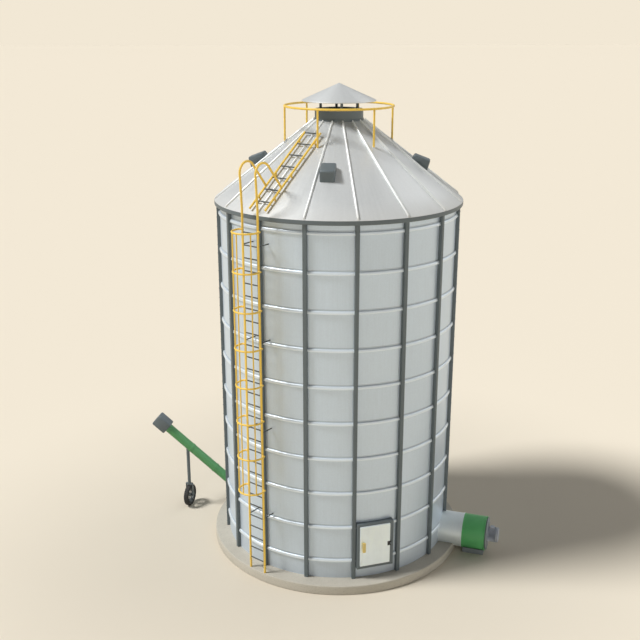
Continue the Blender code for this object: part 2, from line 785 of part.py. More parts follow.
def auger_frame():
    """Where the auger leaves the wall, its direction, and the two directions across it."""
    entry = place(AUGER_WALL_AZIMUTH, WALL_R, 0.0, AUGER_WALL_Z)
    wheel = place(WHEEL_AZIMUTH, WHEEL_PATH_R, 0.0, 0.0)
    plan = Vector((wheel.x - entry.x, wheel.y - entry.y, 0.0)).normalized()
    along = (plan + UP * AUGER_SLOPE).normalized()
    side = UP.cross(plan)
    return entry, along, side, along.cross(side)


def auger(inside):
    """Sloping tube out of the wall, with the head box at its upper end."""
    entry, along, side, over = auger_frame()
    head_start = HEAD_AT * math.sqrt(1.0 + AUGER_SLOPE ** 2) - HEAD_LENGTH / 2.0
    bm = bmesh.new()
    profile = [(AUGER_R, -AUGER_INSIDE), (AUGER_R, head_start - GAP)]
    lathe(bm, profile, AUGER_SIDES, origin=entry, axis=along, start=side)
    combine(node("auger_tube", bm, "green_paint", smooth=True), inside, "DIFFERENCE")

    bm = bmesh.new()
    loops = []
    for reach in (head_start, head_start + HEAD_LENGTH):
        centre = entry + along * reach
        loops.append([centre + side * (HEAD_WIDTH / 2.0 * a) + over * (HEAD_DEPTH / 2.0 * b)
                      for a, b in ((-1, -1), (1, -1), (1, 1), (-1, 1))])
    loft(bm, loops)
    head = node("auger_head", bm, "dark_steel")
    bevel = head.modifiers.new("rounded_edges", "BEVEL")
    bevel.width = HEAD_EDGE
    bevel.segments = 2


def auger_leg():
    """Tube under the auger that stands on a fork, with the axle between the fork's tines."""
    entry, along, side, _ = auger_frame()
    foot = place(WHEEL_AZIMUTH, WHEEL_PATH_R, 0.0, 0.0)
    axle = outward(WHEEL_AZIMUTH)
    tine = TYRE_HALF_W + TINE_GAP
    crown = (2.0 * WHEEL_R + TINE_GAP, 2.0 * WHEEL_R + TINE_GAP + CROWN_T)
    bm = bmesh.new()
    for inner, outer in ((-tine - TINE_T, -tine), (tine, tine + TINE_T)):
        block(bm, WHEEL_AZIMUTH, (WHEEL_PATH_R + inner, WHEEL_PATH_R + outer), (-TINE_HALF, TINE_HALF),
              (WHEEL_R - TINE_BELOW, crown[1]))
    leg = node("auger_leg", bm, "dark_steel")

    middle = tine + TINE_T / 2.0
    bm = bmesh.new()
    radial = (WHEEL_PATH_R - middle, WHEEL_PATH_R + middle)
    block(bm, WHEEL_AZIMUTH, radial, (-CROWN_HALF, CROWN_HALF), crown)
    combine(leg, guide("fork_crown", bm), "UNION")
    bm = bmesh.new()
    centre = foot + UP * WHEEL_R
    lathe(bm, [(AXLE_R, -middle), (AXLE_R, middle)], AXLE_SIDES, origin=centre, axis=axle, start=-UP)
    combine(leg, guide("wheel_axle", bm), "UNION")
    bm = bmesh.new()
    top = AUGER_WALL_Z + AUGER_SLOPE * Vector((foot.x - entry.x, foot.y - entry.y)).length
    lathe(bm, [(LEG_R, (crown[0] + crown[1]) / 2.0), (LEG_R, top)], LEG_SIDES, origin=foot)
    combine(leg, guide("leg_tube", bm), "UNION")
    bm = bmesh.new()
    profile = [(AUGER_R + GAP, 0.0), (AUGER_R + GAP, 2.0 * HEAD_AT)]
    lathe(bm, profile, AUGER_SIDES, origin=entry, axis=along, start=side)
    combine(leg, guide("auger_tube_room", bm), "DIFFERENCE")


def auger_wheel():
    centre = place(WHEEL_AZIMUTH, WHEEL_PATH_R, 0.0, WHEEL_R)
    axle = outward(WHEEL_AZIMUTH)
    lateral = sideways(WHEEL_AZIMUTH)
    seat = RIM_R - RIM_T
    profile = [(seat, -RIM_HALF_W), (RIM_R, -RIM_HALF_W), (RIM_R, RIM_HALF_W), (seat, RIM_HALF_W)]
    bm = bmesh.new()
    lathe(bm, profile, TYRE_SIDES, closed=True, origin=centre, axis=axle, start=-UP)
    rim = node("auger_wheel_rim", bm, "dark_steel", smooth=True)
    bm = bmesh.new()
    for index in range(SPOKES):
        turn = 2.0 * math.pi * index / SPOKES
        reach = lateral * math.cos(turn) + UP * math.sin(turn)
        ends = (HUB_R - SPOKE_R, RIM_R - RIM_T / 2.0)
        tube(bm, [centre + reach * end for end in ends], SPOKE_R, 4, axle)
    combine(rim, guide("spokes", bm), "UNION")
    bm = bmesh.new()
    profile = [(AXLE_BORE_R, -HUB_HALF_W), (HUB_R, -HUB_HALF_W),
               (HUB_R, HUB_HALF_W), (AXLE_BORE_R, HUB_HALF_W)]
    lathe(bm, profile, AXLE_SIDES, closed=True, origin=centre, axis=axle, start=-UP)
    combine(rim, guide("hub", bm), "UNION")

    shoulder = WHEEL_R - TYRE_EDGE
    half = [(RIM_R + GAP, RIM_HALF_W), (RIM_R + TYRE_EDGE, TYRE_HALF_W),
            (shoulder, TYRE_HALF_W), (WHEEL_R, TREAD_HALF_W)]
    bm = bmesh.new()
    profile = [(radius, -reach) for radius, reach in half] + half[::-1]
    lathe(bm, profile, TYRE_SIDES, closed=True, origin=centre, axis=axle, start=-UP)
    node("auger_wheel_tyre", bm, "rubber", smooth=True)


def main():
    clear_scene()
    inside = wall_space()
    pad()
    walls()
    door_bay()
    stiffeners()
    eave_band()
    roof()
    peak()
    handrail()
    roof_vents()
    wall_ladder(inside)
    ladder_cage()
    roof_ladder()
    grab_rails()
    door_frame()
    door_panel()
    door_hinge()
    door_handle()
    fan_duct(inside)
    fan()
    auger(inside)
    auger_leg()
    auger_wheel()


main()
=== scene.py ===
# Grain silo: the finishes and fine shapes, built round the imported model.
# Metres, +Z up. An azimuth is in degrees from -Y towards +X, so the door faces about azimuth 10.
import math

import bmesh
import bpy
import numpy as np
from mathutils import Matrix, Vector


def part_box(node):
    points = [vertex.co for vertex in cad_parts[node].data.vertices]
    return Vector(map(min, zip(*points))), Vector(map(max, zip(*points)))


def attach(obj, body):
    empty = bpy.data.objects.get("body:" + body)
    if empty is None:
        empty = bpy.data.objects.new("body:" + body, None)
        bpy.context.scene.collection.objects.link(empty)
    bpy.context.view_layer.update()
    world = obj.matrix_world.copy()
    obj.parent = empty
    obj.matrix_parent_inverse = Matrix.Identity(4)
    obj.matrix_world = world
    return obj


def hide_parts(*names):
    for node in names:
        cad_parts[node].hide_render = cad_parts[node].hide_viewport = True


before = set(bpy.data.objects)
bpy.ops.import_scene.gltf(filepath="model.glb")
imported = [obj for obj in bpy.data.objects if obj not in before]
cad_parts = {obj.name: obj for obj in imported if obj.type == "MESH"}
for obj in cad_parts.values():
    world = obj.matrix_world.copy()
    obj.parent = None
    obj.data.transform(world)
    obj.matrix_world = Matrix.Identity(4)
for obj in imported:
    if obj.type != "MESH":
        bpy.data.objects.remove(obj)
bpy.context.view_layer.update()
print("frame loaded")

up = np.array([0.0, 0.0, 1.0])
silo = {
    "wallRadius": 3.0,
    "sheet": 0.03,
    "padTop": 0.25,
    "wallTop": 9.29,
    "ringTop": 9.088,
    "ringPitch": 0.9264,
    "rings": 10,
    "posts": 16,
    "postPitch": 22.5,
    "eaveRadius": 3.13,
    "roofEdge": 9.40,
    "roofSlope": 0.767,
    "ladderAzimuth": -45.0,
    "turns": 192,
    "gap": 0.0003,  # between two pieces that would else share a face
    "sink": 0.001,  # how far a small part goes into the face under it
}


# Directions and places round the silo's axis

def outward(azimuth):
    turn = np.radians(azimuth)
    return np.stack([np.sin(turn), -np.cos(turn), np.zeros_like(turn)], -1)


def sideways(azimuth):
    turn = np.radians(azimuth)
    return np.stack([np.cos(turn), np.sin(turn), np.zeros_like(turn)], -1)


def spot(azimuth, radial, lateral, z):
    # the point this far out, to the side and up, for numbers or whole arrays
    values = [np.asarray(value, float) for value in (azimuth, radial, lateral, z)]
    azimuth, radial, lateral, z = np.broadcast_arrays(*values)
    return outward(azimuth) * radial[..., None] + sideways(azimuth) * lateral[..., None] + up * z[..., None]


def onPlane(azimuth, radial, outline):
    # an outline of (side, height) on a plane that faces an azimuth
    return spot(azimuth, radial, outline[:, 0], outline[:, 1])


def roofAt(radial):
    return silo["roofEdge"] + silo["roofSlope"] * (silo["eaveRadius"] - np.asarray(radial, float))


def ringHeights(count):
    return silo["ringTop"] - silo["ringPitch"] * np.arange(count)


def turnsOf(count, shift=0.0):
    return 2 * np.pi * (np.arange(count) + shift) / count


def ringOf(turn, first, second):
    # a circle: cosine of the turn along the first direction, and sine along the second
    return np.cos(turn)[:, None] * first + np.sin(turn)[:, None] * second


def unit(vectors):
    return vectors / np.linalg.norm(vectors, axis=-1)[..., None]


# Shapes: grids of points, joined into one mesh

def quads(low, high):
    # faces between two rows of points, each row a closed loop
    return np.stack([low, np.roll(low, -1, -1), np.roll(high, -1, -1), high], -1)


class Form:
    def __init__(self):
        self.points, self.corners, self.sizes, self.count = [], [], [], 0

    def add(self, points):
        points = np.asarray(points, float).reshape(-1, 3)
        self.points.append(points)
        self.count += len(points)
        return np.arange(self.count - len(points), self.count)

    def faces(self, corners):
        self.corners.append(corners.reshape(-1))
        self.sizes.append(np.full(corners[..., 0].size, corners.shape[-1]))

    def grid(self, rows, wrapRows=False, caps=False):
        # quads between neighbouring rows; caps close the first and last row
        rows = np.asarray(rows)
        index = self.add(rows).reshape(rows.shape[:2])
        self.faces(quads(index, np.roll(index, -1, 0)) if wrapRows else quads(index[:-1], index[1:]))
        if caps:
            self.faces(index[:1, ::-1])
            self.faces(index[-1:])

    def mesh(self, name):
        mesh = bpy.data.meshes.new(name)
        points, corners, sizes = (np.concatenate(part) for part in (self.points, self.corners, self.sizes))
        mesh.vertices.add(len(points))
        mesh.vertices.foreach_set("co", points.reshape(-1))
        mesh.loops.add(len(corners))
        mesh.loops.foreach_set("vertex_index", corners)
        mesh.polygons.add(len(sizes))
        mesh.polygons.foreach_set("loop_start", np.cumsum(sizes) - sizes)
        mesh.update(calc_edges=True)
        return mesh


def turned(form, profile, sides=silo["turns"], origin=(0, 0, 0), axis=up, start=(0, -1, 0), closed=True):
    # points of (radius, height) carried round an axis; a point on the axis becomes a pole
    radius, height = np.asarray(profile, float).T
    centres = np.asarray(origin, float) + height[:, None] * axis
    solid = radius > 0
    closed = closed and solid.all()
    ring = ringOf(turnsOf(sides), np.asarray(start, float), np.cross(axis, start))
    rows = centres[solid][:, None] + radius[solid][:, None, None] * ring
    index = np.arange(form.count, form.count + len(rows) * sides).reshape(-1, sides)
    form.grid(rows, wrapRows=closed)
    if closed:
        return
    for end, cap in ((0, index[:1, ::-1]), (-1, index[-1:])):
        if solid[end]:
            form.faces(cap)
        else:
            tip = np.full(sides, form.add(centres[end])[0])
            form.faces(np.stack([index[end], np.roll(index[end], -1), tip], -1))


def tube(form, path, radius, flat, sides=14, closed=False):
    # a circle carried along a path in the plane across flat, mitred where the path turns
    path = np.asarray(path, float)
    step = unit(np.diff(path, axis=0, append=path[:1]) if closed else np.diff(path, axis=0))
    before = np.roll(step, 1, 0) if closed else np.vstack([step[:1], step])
    after = step if closed else np.vstack([step, step[-1:]])
    along = unit(before + after)
    side = np.cross(along, flat) / (along * after).sum(1)[:, None]
    circle = ringOf(turnsOf(sides, 0.5), side[:, None], flat)
    form.grid(path[:, None] + radius * circle, wrapRows=closed, caps=not closed)


def rectangle(left, right, low, high):
    return np.array([(left, low), (right, low), (right, high), (left, high)], float)


def block(form, azimuth, radial, lateral, z):
    # a box, from its spans out, to the side and up
    outline = rectangle(*radial, *z)
    form.grid([spot(azimuth, outline[:, 0], side, outline[:, 1]) for side in lateral], caps=True)


def rounded(corners, radius, steps=5):
    # each corner of a flat outline becomes a parabola between points at this distance from it
    corners = np.asarray(corners, float)
    radius = np.broadcast_to(radius, len(corners))[:, None]
    start = corners + unit(np.roll(corners, 1, 0) - corners) * radius
    end = corners + unit(np.roll(corners, -1, 0) - corners) * radius
    t = np.linspace(0, 1, steps + 1)[None, :, None]
    points = (1 - t) ** 2 * start[:, None] + 2 * t * (1 - t) * corners[:, None] + t ** 2 * end[:, None]
    return points.reshape(-1, 2)


def arc(centre, radius, first, last, steps):
    # points (across, up) on a circle, with angles in degrees from the first axis
    turn = np.radians(np.linspace(first, last, steps + 1))
    return np.stack([centre[0] + radius * np.cos(turn), centre[1] + radius * np.sin(turn)], -1)


boltShape = [(0.78, 0.0), (0.78, 0.15), (0.5, 0.15), (0.5, 0.85), (0.4, 1.0)]


def boltHeads(form, places, normals, width):
    # six-sided heads on washers, half as high as wide: rings of (radius, height), closed at both ends
    normals = np.broadcast_to(normals, places.shape)
    first = unit(np.cross(up, normals))
    axes = np.stack([first, np.cross(normals, first), normals], 1)
    rings = np.array(boltShape) * (width, width / 2)
    points = np.concatenate([ringOf(turnsOf(6), (r, 0, 0), (0, r, 0)) + (0, 0, h) for r, h in rings])
    spread = np.einsum("pk,nkx->npx", points, axes) + places[:, None]
    head = np.arange(len(points)).reshape(-1, 6)
    index = form.add(spread).reshape(len(places), len(points))
    for group in (quads(head[:-1], head[1:]), head[-1:], head[:1, ::-1]):
        form.faces(index[:, group])


def placed(name, data):
    item = bpy.data.objects.new(name, data)
    bpy.context.scene.collection.objects.link(item)
    return item


def piece(form, name, finish, body="silo", replaces=(), sharp=40.0, bevel=0.0, merge=0.0):
    # one mesh object that rides on a body, with soft or sharp edges by their angle and faces turned outwards
    mesh = form.mesh(name)
    work = bmesh.new()
    work.from_mesh(mesh)
    if merge:
        bmesh.ops.remove_doubles(work, verts=work.verts, dist=merge)
    bmesh.ops.recalc_face_normals(work, faces=work.faces)
    if work.calc_volume(signed=True) < 0:
        bmesh.ops.reverse_faces(work, faces=work.faces)
    work.to_mesh(mesh)
    work.free()
    mesh.shade_smooth()
    mesh.set_sharp_from_angle(angle=math.radians(sharp))
    mesh.materials.append(finishes[finish])
    item = placed(name, mesh)
    if bevel:
        edge = item.modifiers.new("softEdges", "BEVEL")
        edge.width = bevel
        edge.segments = 3
        edge.limit_method = "ANGLE"
        edge.angle_limit = math.radians(sharp)
        edge.harden_normals = True
    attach(item, body)
    if replaces:
        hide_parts(*replaces)


# Materials: sockets with arithmetic, and one method for every other node

def arithmetic(*operation):
    return lambda self, other: self.maths(*operation, other)


class Signal:
    def __init__(self, graph, socket):
        self.graph, self.socket = graph, socket

    def maths(self, operation, *others):
        return self.graph.node("ShaderNodeMath", dict(enumerate((self, *others))), operation=operation)

    __add__ = __radd__ = arithmetic("ADD")
    __mul__ = __rmul__ = arithmetic("MULTIPLY")
    __sub__ = arithmetic("SUBTRACT")
    __rsub__ = arithmetic("MULTIPLY_ADD", -1.0)
    __truediv__ = arithmetic("DIVIDE")

    def between(self, low, high):
        # 0 below low, 1 above high, smooth between
        inputs = {"Value": self, "From Min": low, "From Max": high}
        return self.graph.node("ShaderNodeMapRange", inputs, interpolation_type="SMOOTHSTEP")


class Graph:
    def __init__(self, owner):
        owner.use_nodes = True
        self.tree = owner.node_tree

    def connect(self, socket, value):
        if isinstance(value, Signal):
            self.tree.links.new(value.socket, socket)
        elif isinstance(value, tuple) and len(value) == 3 and socket.type == "RGBA":
            socket.default_value = (*value, 1.0)
        else:
            socket.default_value = value

    def node(self, kind, inputs, output=0, **settings):
        node = self.tree.nodes.new(kind)
        for name, value in settings.items():
            setattr(node, name, value)
        for name, value in inputs.items():
            self.connect(node.inputs[name], value)
        return Signal(self, node.outputs[output])


class Finish(Graph):
    def __init__(self, name):
        self.material = bpy.data.materials.new(name)
        super().__init__(self.material)
        self.place = self.node("ShaderNodeTexCoord", {}, "Object")

    def split(self, vector=None):
        node = self.node("ShaderNodeSeparateXYZ", {0: vector or self.place}).socket.node
        return [Signal(self, socket) for socket in node.outputs]

    def vector(self, x, y, z):
        return self.node("ShaderNodeCombineXYZ", {0: x, 1: y, 2: z})

    def stretched(self, scale):
        return self.node("ShaderNodeVectorMath", {0: self.place, 1: scale}, operation="MULTIPLY")

    def noise(self, scale, detail=3.0, where=None, roughness=0.55):
        inputs = {"Vector": where or self.place, "Scale": scale, "Detail": detail, "Roughness": roughness}
        return self.node("ShaderNodeTexNoise", inputs)

    def cells(self, scale):
        # one random number from 0 to 1 for each cell
        inputs = {"Vector": self.place, "Scale": scale}
        return self.split(self.node("ShaderNodeTexVoronoi", inputs, "Color"))[0]

    def chance(self, vector):
        return self.node("ShaderNodeTexWhiteNoise", {"Vector": vector}, noise_dimensions="3D")

    def mix(self, factor, first, second, blend="MIX"):
        inputs = {0: factor, 6: first, 7: second}
        return self.node("ShaderNodeMix", inputs, 2, data_type="RGBA", blend_type=blend)

    def toned(self, colour, tone):
        return self.mix(1.0, colour, self.vector(tone, tone, tone), "MULTIPLY")

    def facing(self):
        # how far a face looks up: 1 on level tops, 0 on walls
        return self.split(self.node("ShaderNodeTexCoord", {}, "Normal"))[2].maths("MAXIMUM", 0.0)

    def bump(self, height, distance, strength):
        return self.node("ShaderNodeBump", {"Height": height, "Distance": distance, "Strength": strength})

    def set(self, **values):
        names = {"colour": "Base Color", "roughness": "Roughness", "metallic": "Metallic", "normal": "Normal",
                 "specular": "Specular IOR Level"}
        shader = self.tree.nodes["Principled BSDF"]
        for name, value in values.items():
            self.connect(shader.inputs[names[name]], value)
        return self.material


def shade(colour, factor):
    return tuple(min(1.0, channel * factor) for channel in colour)


sheetLook = {
    "wall": (0.63, 0.725, 0.82),
    "roof": (0.665, 0.685, 0.685),
    # the ribs' colour is a lighter copy of the roof's: a painted highlight on the ribs and their screws
    "rib": (0.82, 0.84, 0.83),
    "metallic": 0.45,
    "roofMetallic": 0.32,
    "roughness": 0.38,
    # the bead is painted lighter, a painted highlight, and a line of painted shade lies above it: heights
    # from the bead's middle
    "bead": (0.85, 0.92, 0.965),
    "beadHighlightShare": 0.70,
    "beadHighlightEdge": (0.038, 0.048),
    "shadeLine": (0.30, 0.32, 0.33),
    "shadeLineShare": 0.40,
    "shadeLineStart": (-0.085, -0.070),
    "shadeLineEnd": (-0.046, -0.038),
    # dust gathers low on the wall, by height, and low on the roof, by radius
    "dust": (0.50, 0.47, 0.41),
    "dustShare": 0.35,
    "wallFoot": (0.25, 0.95),
    "roofFoot": (2.6, 3.15),
    "courseShift": 0.05,
    "streaks": 0.10,
    "wallStreak": (0.30, 0.25),
    "roofStreak": (0.16, 0.22),
    "spangle": 30.0,
}


def sheetSteel(name, colour, onRoof=True):
    # coated steel sheet: each sheet a shade of its own, faint spangle, and streaks the way the rain runs
    look, finish = sheetLook, Finish(name)
    x, y, z = finish.split()
    azimuth = x.maths("ARCTAN2", y * -1.0) * (180.0 / math.pi)
    bay = ((azimuth + 360.0) / silo["postPitch"]).maths("FLOOR")
    if onRoof:
        along = (x * x + y * y).maths("SQRT")
        course = 0.0
        foot = along.between(*look["roofFoot"])
    else:
        along = z
        below = (silo["ringTop"] - z) / silo["ringPitch"]
        course = below.maths("FLOOR")
        foot = 1.0 - z.between(*look["wallFoot"])
        # below and above the nearest ring
        below = ((below + 0.5).maths("FRACT") - 0.5) * silo["ringPitch"]
        # a painted highlight on the bead, and a line of painted shade just above it
        bead = 1.0 - below.maths("ABSOLUTE").between(*look["beadHighlightEdge"])
        shadeLine = below.between(*look["shadeLineStart"]) * (1.0 - below.between(*look["shadeLineEnd"]))
    across, down = look["roofStreak" if onRoof else "wallStreak"]
    own = finish.chance(finish.vector(bay, course, 0.5))
    streak = finish.noise(5.0, 4.0, finish.vector(azimuth * across, along * down, 0.0))
    cloud = finish.noise(0.9, 3.0)
    spangle = finish.cells(look["spangle"])
    grime = foot * (cloud * 0.8 + 0.1)
    tone = (own - 0.5) * look["courseShift"] + (streak - 0.5) * look["streaks"] + 1.0
    base = finish.toned(colour, tone + (spangle - 0.5) * 0.03 - grime * 0.10)
    # on the wall: the painted highlight on each bead, then the painted shade line above it
    if not onRoof:
        base = finish.mix(bead * look["beadHighlightShare"], base, look["bead"])
        base = finish.mix(shadeLine * look["shadeLineShare"], base, look["shadeLine"])
    base = finish.mix(grime * look["dustShare"], base, look["dust"])
    rough = look["roughness"] + (streak - 0.5) * 0.14 + (spangle - 0.5) * 0.06 + grime * 0.25
    dents = finish.noise(1.6, 2.0) + finish.noise(42.0, 2.0) * 0.04
    metallic = look["roofMetallic" if onRoof else "metallic"] - grime * 0.4
    return finish.set(colour=base, roughness=rough, metallic=metallic, normal=finish.bump(dents, 0.012, 0.35))


paintLook = {"chip": (0.20, 0.17, 0.14), "dust": (0.52, 0.47, 0.38), "cloud": 0.16, "runs": 0.12}


def paint(name, colour, roughness, metallic, dust, chips=0.35):
    # brushed or sprayed paint: soft clouds, a little dust on tops, and small chips down to the steel
    finish = Finish(name)
    cloud = finish.noise(2.2, 4.0)
    grain = finish.noise(95.0, 2.0)
    runs = finish.noise(7.0, 3.0, finish.stretched((1.0, 1.0, 0.12)))
    base = finish.toned(colour, 1.0 + (cloud - 0.5) * paintLook["cloud"] + (runs - 0.5) * paintLook["runs"])
    chip = finish.noise(26.0, 5.0, roughness=0.7).between(0.70, 0.735)
    chip = chip * finish.noise(3.1, 2.0).between(0.5, 0.62)
    base = finish.mix(chip * chips, base, paintLook["chip"])
    settled = finish.facing() * (0.55 + cloud * 0.6) * dust
    base = finish.mix(settled, base, paintLook["dust"])
    rough = roughness + (cloud - 0.5) * 0.18 + settled * 0.4 + chip * 0.25
    return finish.set(colour=base, roughness=rough, metallic=metallic,
                      normal=finish.bump(grain * 0.25 + cloud - chip * 0.6, 0.003, 0.35))


def concreteFinish(name, colour):
    # cast concrete: cloudy tone, fine aggregate, trowel marks, darker towards its foot
    finish = Finish(name)
    cloud = finish.noise(0.8, 5.0)
    patch = finish.noise(3.6, 4.0)
    sand = finish.noise(120.0, 2.0)
    grit = finish.cells(70.0)
    foot = 1.0 - finish.split()[2].between(0.0, 0.10)
    # painted shade and light: the top is painted darker and the cast side lighter, for how the light falls on
    # them
    tone = 1.13 - finish.facing() * 0.18 + (cloud - 0.5) * 0.22 + (patch - 0.5) * 0.14
    base = finish.toned(colour, tone + (sand - 0.5) * 0.10 - foot * 0.05)
    base = finish.mix(grit.between(0.86, 0.95) * 0.35, base, shade(colour, 0.55))
    height = sand * 0.35 + patch * 0.8 + grit * 0.2
    rough = 0.86 + (patch - 0.5) * 0.12
    return finish.set(colour=base, roughness=rough, normal=finish.bump(height, 0.006, 0.5))


def rubberFinish(name, colour, dust):
    finish = Finish(name)
    cloud = finish.noise(9.0, 4.0)
    base = finish.mix(cloud.between(0.45, 0.75) * 0.25, colour, dust)
    return finish.set(colour=base, roughness=0.78 + (cloud - 0.5) * 0.2,
                      normal=finish.bump(finish.noise(160.0, 2.0), 0.001, 0.5))


# colour, roughness, metallic, dust, and the share of chips where it isn't the usual one
paints = {
    "darkPaint": ((0.134, 0.163, 0.176), 0.48, 0.15, 0.02),
    "yellowPaint": ((0.92, 0.62, 0.10), 0.42, 0.0, 0.05),
    "pullPaint": ((0.80, 0.62, 0.22), 0.42, 0.0, 0.05),
    "greenPaint": ((0.085, 0.30, 0.105), 0.42, 0.0, 0.06),
    # the drum's green is a lighter copy of the auger's green: painted light on the drum, which sits in the
    # silo's shadow
    "drumLitGreen": ((0.12, 0.51, 0.175), 0.42, 0.0, 0.04),
    "doorPaint": ((0.88, 0.97, 1.0), 0.38, 0.45, 0.02, 0.15),
    "greyPaint": ((0.90, 0.98, 1.0), 0.42, 0.42, 0.03),
    "platePaint": ((0.30, 0.335, 0.36), 0.45, 0.20, 0.03),
    "motorPaint": ((0.45, 0.485, 0.54), 0.45, 0.20, 0.03),
    "blackPaint": ((0.03, 0.033, 0.034), 0.55, 0.1, 0.02),
    "rungSteel": ((0.075, 0.085, 0.088), 0.55, 0.3, 0.02),
    "zinc": ((0.36, 0.37, 0.37), 0.35, 0.8, 0.1, 0.0),
}
finishes = {name: paint(name, *values) for name, values in paints.items()}
finishes["wallSheet"] = sheetSteel("wallSheet", sheetLook["wall"], onRoof=False)
finishes["roofSheet"] = sheetSteel("roofSheet", sheetLook["roof"])
finishes["ribHighlightSheet"] = sheetSteel("ribHighlightSheet", sheetLook["rib"])
finishes["concrete"] = concreteFinish("concrete", (0.49, 0.46, 0.39))
finishes["rubber"] = rubberFinish("rubber", (0.028, 0.028, 0.028), (0.09, 0.08, 0.065))
print("finishes made")


# Concrete pad

def pad():
    size = {"radius": 3.395, "rounds": (0.001, 0.020, 0.035, 0.001), "steps": 5}
    edge = rounded(rectangle(0.0, size["radius"], 0.0, silo["padTop"]), size["rounds"], size["steps"])
    # the two corners on the axis are left out, so that flat ends close the shape
    inner = size["steps"] + 1
    form = Form()
    turned(form, edge[inner:-inner], closed=False)
    piece(form, "concretePad", "concrete", replaces=["concrete_pad"], sharp=50.0)


# Wall: smooth round sheets with half-round ring beads, and a window for the door's frame

door = {
    "azimuth": 10.15,
    "half": 0.4795,
    "z": (0.542, 1.798),
    "face": 3.10,
    "back": 2.93,
    "openHalf": 0.36,
    "openZ": (0.66, 1.665),
}


def wallProfile(bead):
    # outer face from the pad to the eave: straight runs, and at each ring half a turn of powers of cosine
    # (up) and sine (out), which gives a bead with soft corners; out shrinks with height, so it leans back
    turn = np.linspace(0.0, np.pi, bead["steps"] + 1)
    rings = ringHeights(silo["rings"])[::-1]
    rise = -bead["half"] * np.sign(np.cos(turn)) * np.abs(np.cos(turn)) ** bead["soft"]
    z = rings[:, None] + rise
    out = np.abs(np.sin(turn)) ** bead["soft"] * (bead["out"] - bead["lean"] * rise)
    radius = silo["wallRadius"] + np.broadcast_to(out, z.shape)
    ends = np.array([silo["padTop"] + silo["gap"], *door["z"], silo["wallTop"]])
    z = np.concatenate([z.reshape(-1), ends])
    radius = np.concatenate([radius.reshape(-1), np.full(len(ends), silo["wallRadius"])])
    order = np.argsort(z, kind="stable")
    return radius[order], z[order]


def wall():
    bead = {"out": 0.040, "half": 0.042, "soft": 0.6, "lean": 0.24, "steps": 14}
    size = {"bolts": 5, "bolt": 0.016, "clearTurn": 0.5, "clearZ": 0.03}
    radius, z = wallProfile(bead)
    turns = np.arange(0.0, 360.0, 360.0 / silo["turns"])
    reach = math.degrees(math.asin(door["half"] / silo["wallRadius"]))
    edges = np.array([door["azimuth"] - reach, door["azimuth"] + reach])
    turns = turns[np.abs(turns[:, None] - edges).min(1) > size["clearTurn"]]
    azimuth = np.sort(np.concatenate([turns, edges]))
    left, right = np.searchsorted(azimuth, edges)
    bottom, top = np.searchsorted(z, door["z"])
    kept = np.ones((len(z) - 1, len(azimuth)), bool)
    kept[bottom:top, left:right] = False
    form, sheets = Form(), []
    for radii in (radius, np.full_like(z, silo["wallRadius"] - silo["sheet"])):
        # the window's edges run parallel to the door's axis, so their azimuth changes with the radius
        grid = np.broadcast_to(azimuth, (len(z), len(azimuth))).copy()
        tilt = np.degrees(np.arcsin(door["half"] / radii))
        grid[:, left] = door["azimuth"] - tilt
        grid[:, right] = door["azimuth"] + tilt
        sheets.append(form.add(spot(grid, radii[:, None], 0.0, z[:, None])).reshape(len(z), -1))
    outer, inside = sheets
    form.faces(quads(outer[:-1], outer[1:])[kept])
    form.faces(quads(inside[:-1], inside[1:])[kept][:, ::-1])
    for row in (0, -1):
        form.faces(quads(outer[row], inside[row]))
    # the four sides of the window
    span, rise = slice(left, right + 1), slice(bottom, top + 1)
    for side in ((bottom, span), (top, span), (rise, left), (rise, right)):
        form.faces(quads(outer[side], inside[side])[:-1])
    names = [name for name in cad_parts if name.startswith("wall_") and name != "wall_ladder"]
    piece(form, "wallSheets", "wallSheet", replaces=names, sharp=50.0)

    # five bolts a bay along each bead, none where the door's frame is
    bolts = Form()
    turn = silo["postPitch"] * (np.arange(silo["posts"] * size["bolts"]) + 0.5) / size["bolts"]
    azimuth, z = (grid.reshape(-1) for grid in np.meshgrid(turn, ringHeights(silo["rings"])))
    past = np.abs((azimuth - door["azimuth"] + 180.0) % 360.0 - 180.0) > reach + size["clearTurn"]
    kept = past | (z < door["z"][0] - size["clearZ"]) | (z > door["z"][1] + size["clearZ"])
    places = spot(azimuth[kept], silo["wallRadius"] + bead["out"] - silo["sink"], 0.0, z[kept])
    boltHeads(bolts, places, outward(azimuth[kept]), size["bolt"])
    piece(bolts, "wallBolts", "wallSheet")


# Stiffener posts: rounded channels over the rings, bolted through their face

def posts():
    size = {"half": 0.049, "face": 3.085, "back": 2.992, "rounds": (0.001, 0.012, 0.012, 0.001),
            "boltPitch": 0.2316, "boltSide": 0.022, "boltTop": 0.11, "boltFoot": 0.08, "bolt": 0.018}
    section = rounded(rectangle(size["back"], size["face"], -size["half"], size["half"]), size["rounds"], 4)
    form, bolts = Form(), Form()
    names = sorted(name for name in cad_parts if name.startswith("stiffener_post"))
    for number, name in enumerate(names):
        azimuth = silo["postPitch"] * number
        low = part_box(name)[0].z
        form.grid([spot(azimuth, section[:, 0], section[:, 1], z) for z in (low, silo["wallTop"])], caps=True)
        z = np.arange(silo["wallTop"] - size["boltTop"], low + size["boltFoot"], -size["boltPitch"])
        side = np.where(np.arange(len(z)) % 2 == 0, size["boltSide"], -size["boltSide"])
        boltHeads(bolts, spot(azimuth, size["face"] - silo["sink"], side, z), outward(azimuth), size["bolt"])
    piece(form, "stiffenerPosts", "darkPaint", replaces=names)
    piece(bolts, "postBolts", "darkPaint")


# Eave band, cone roof with its ribs

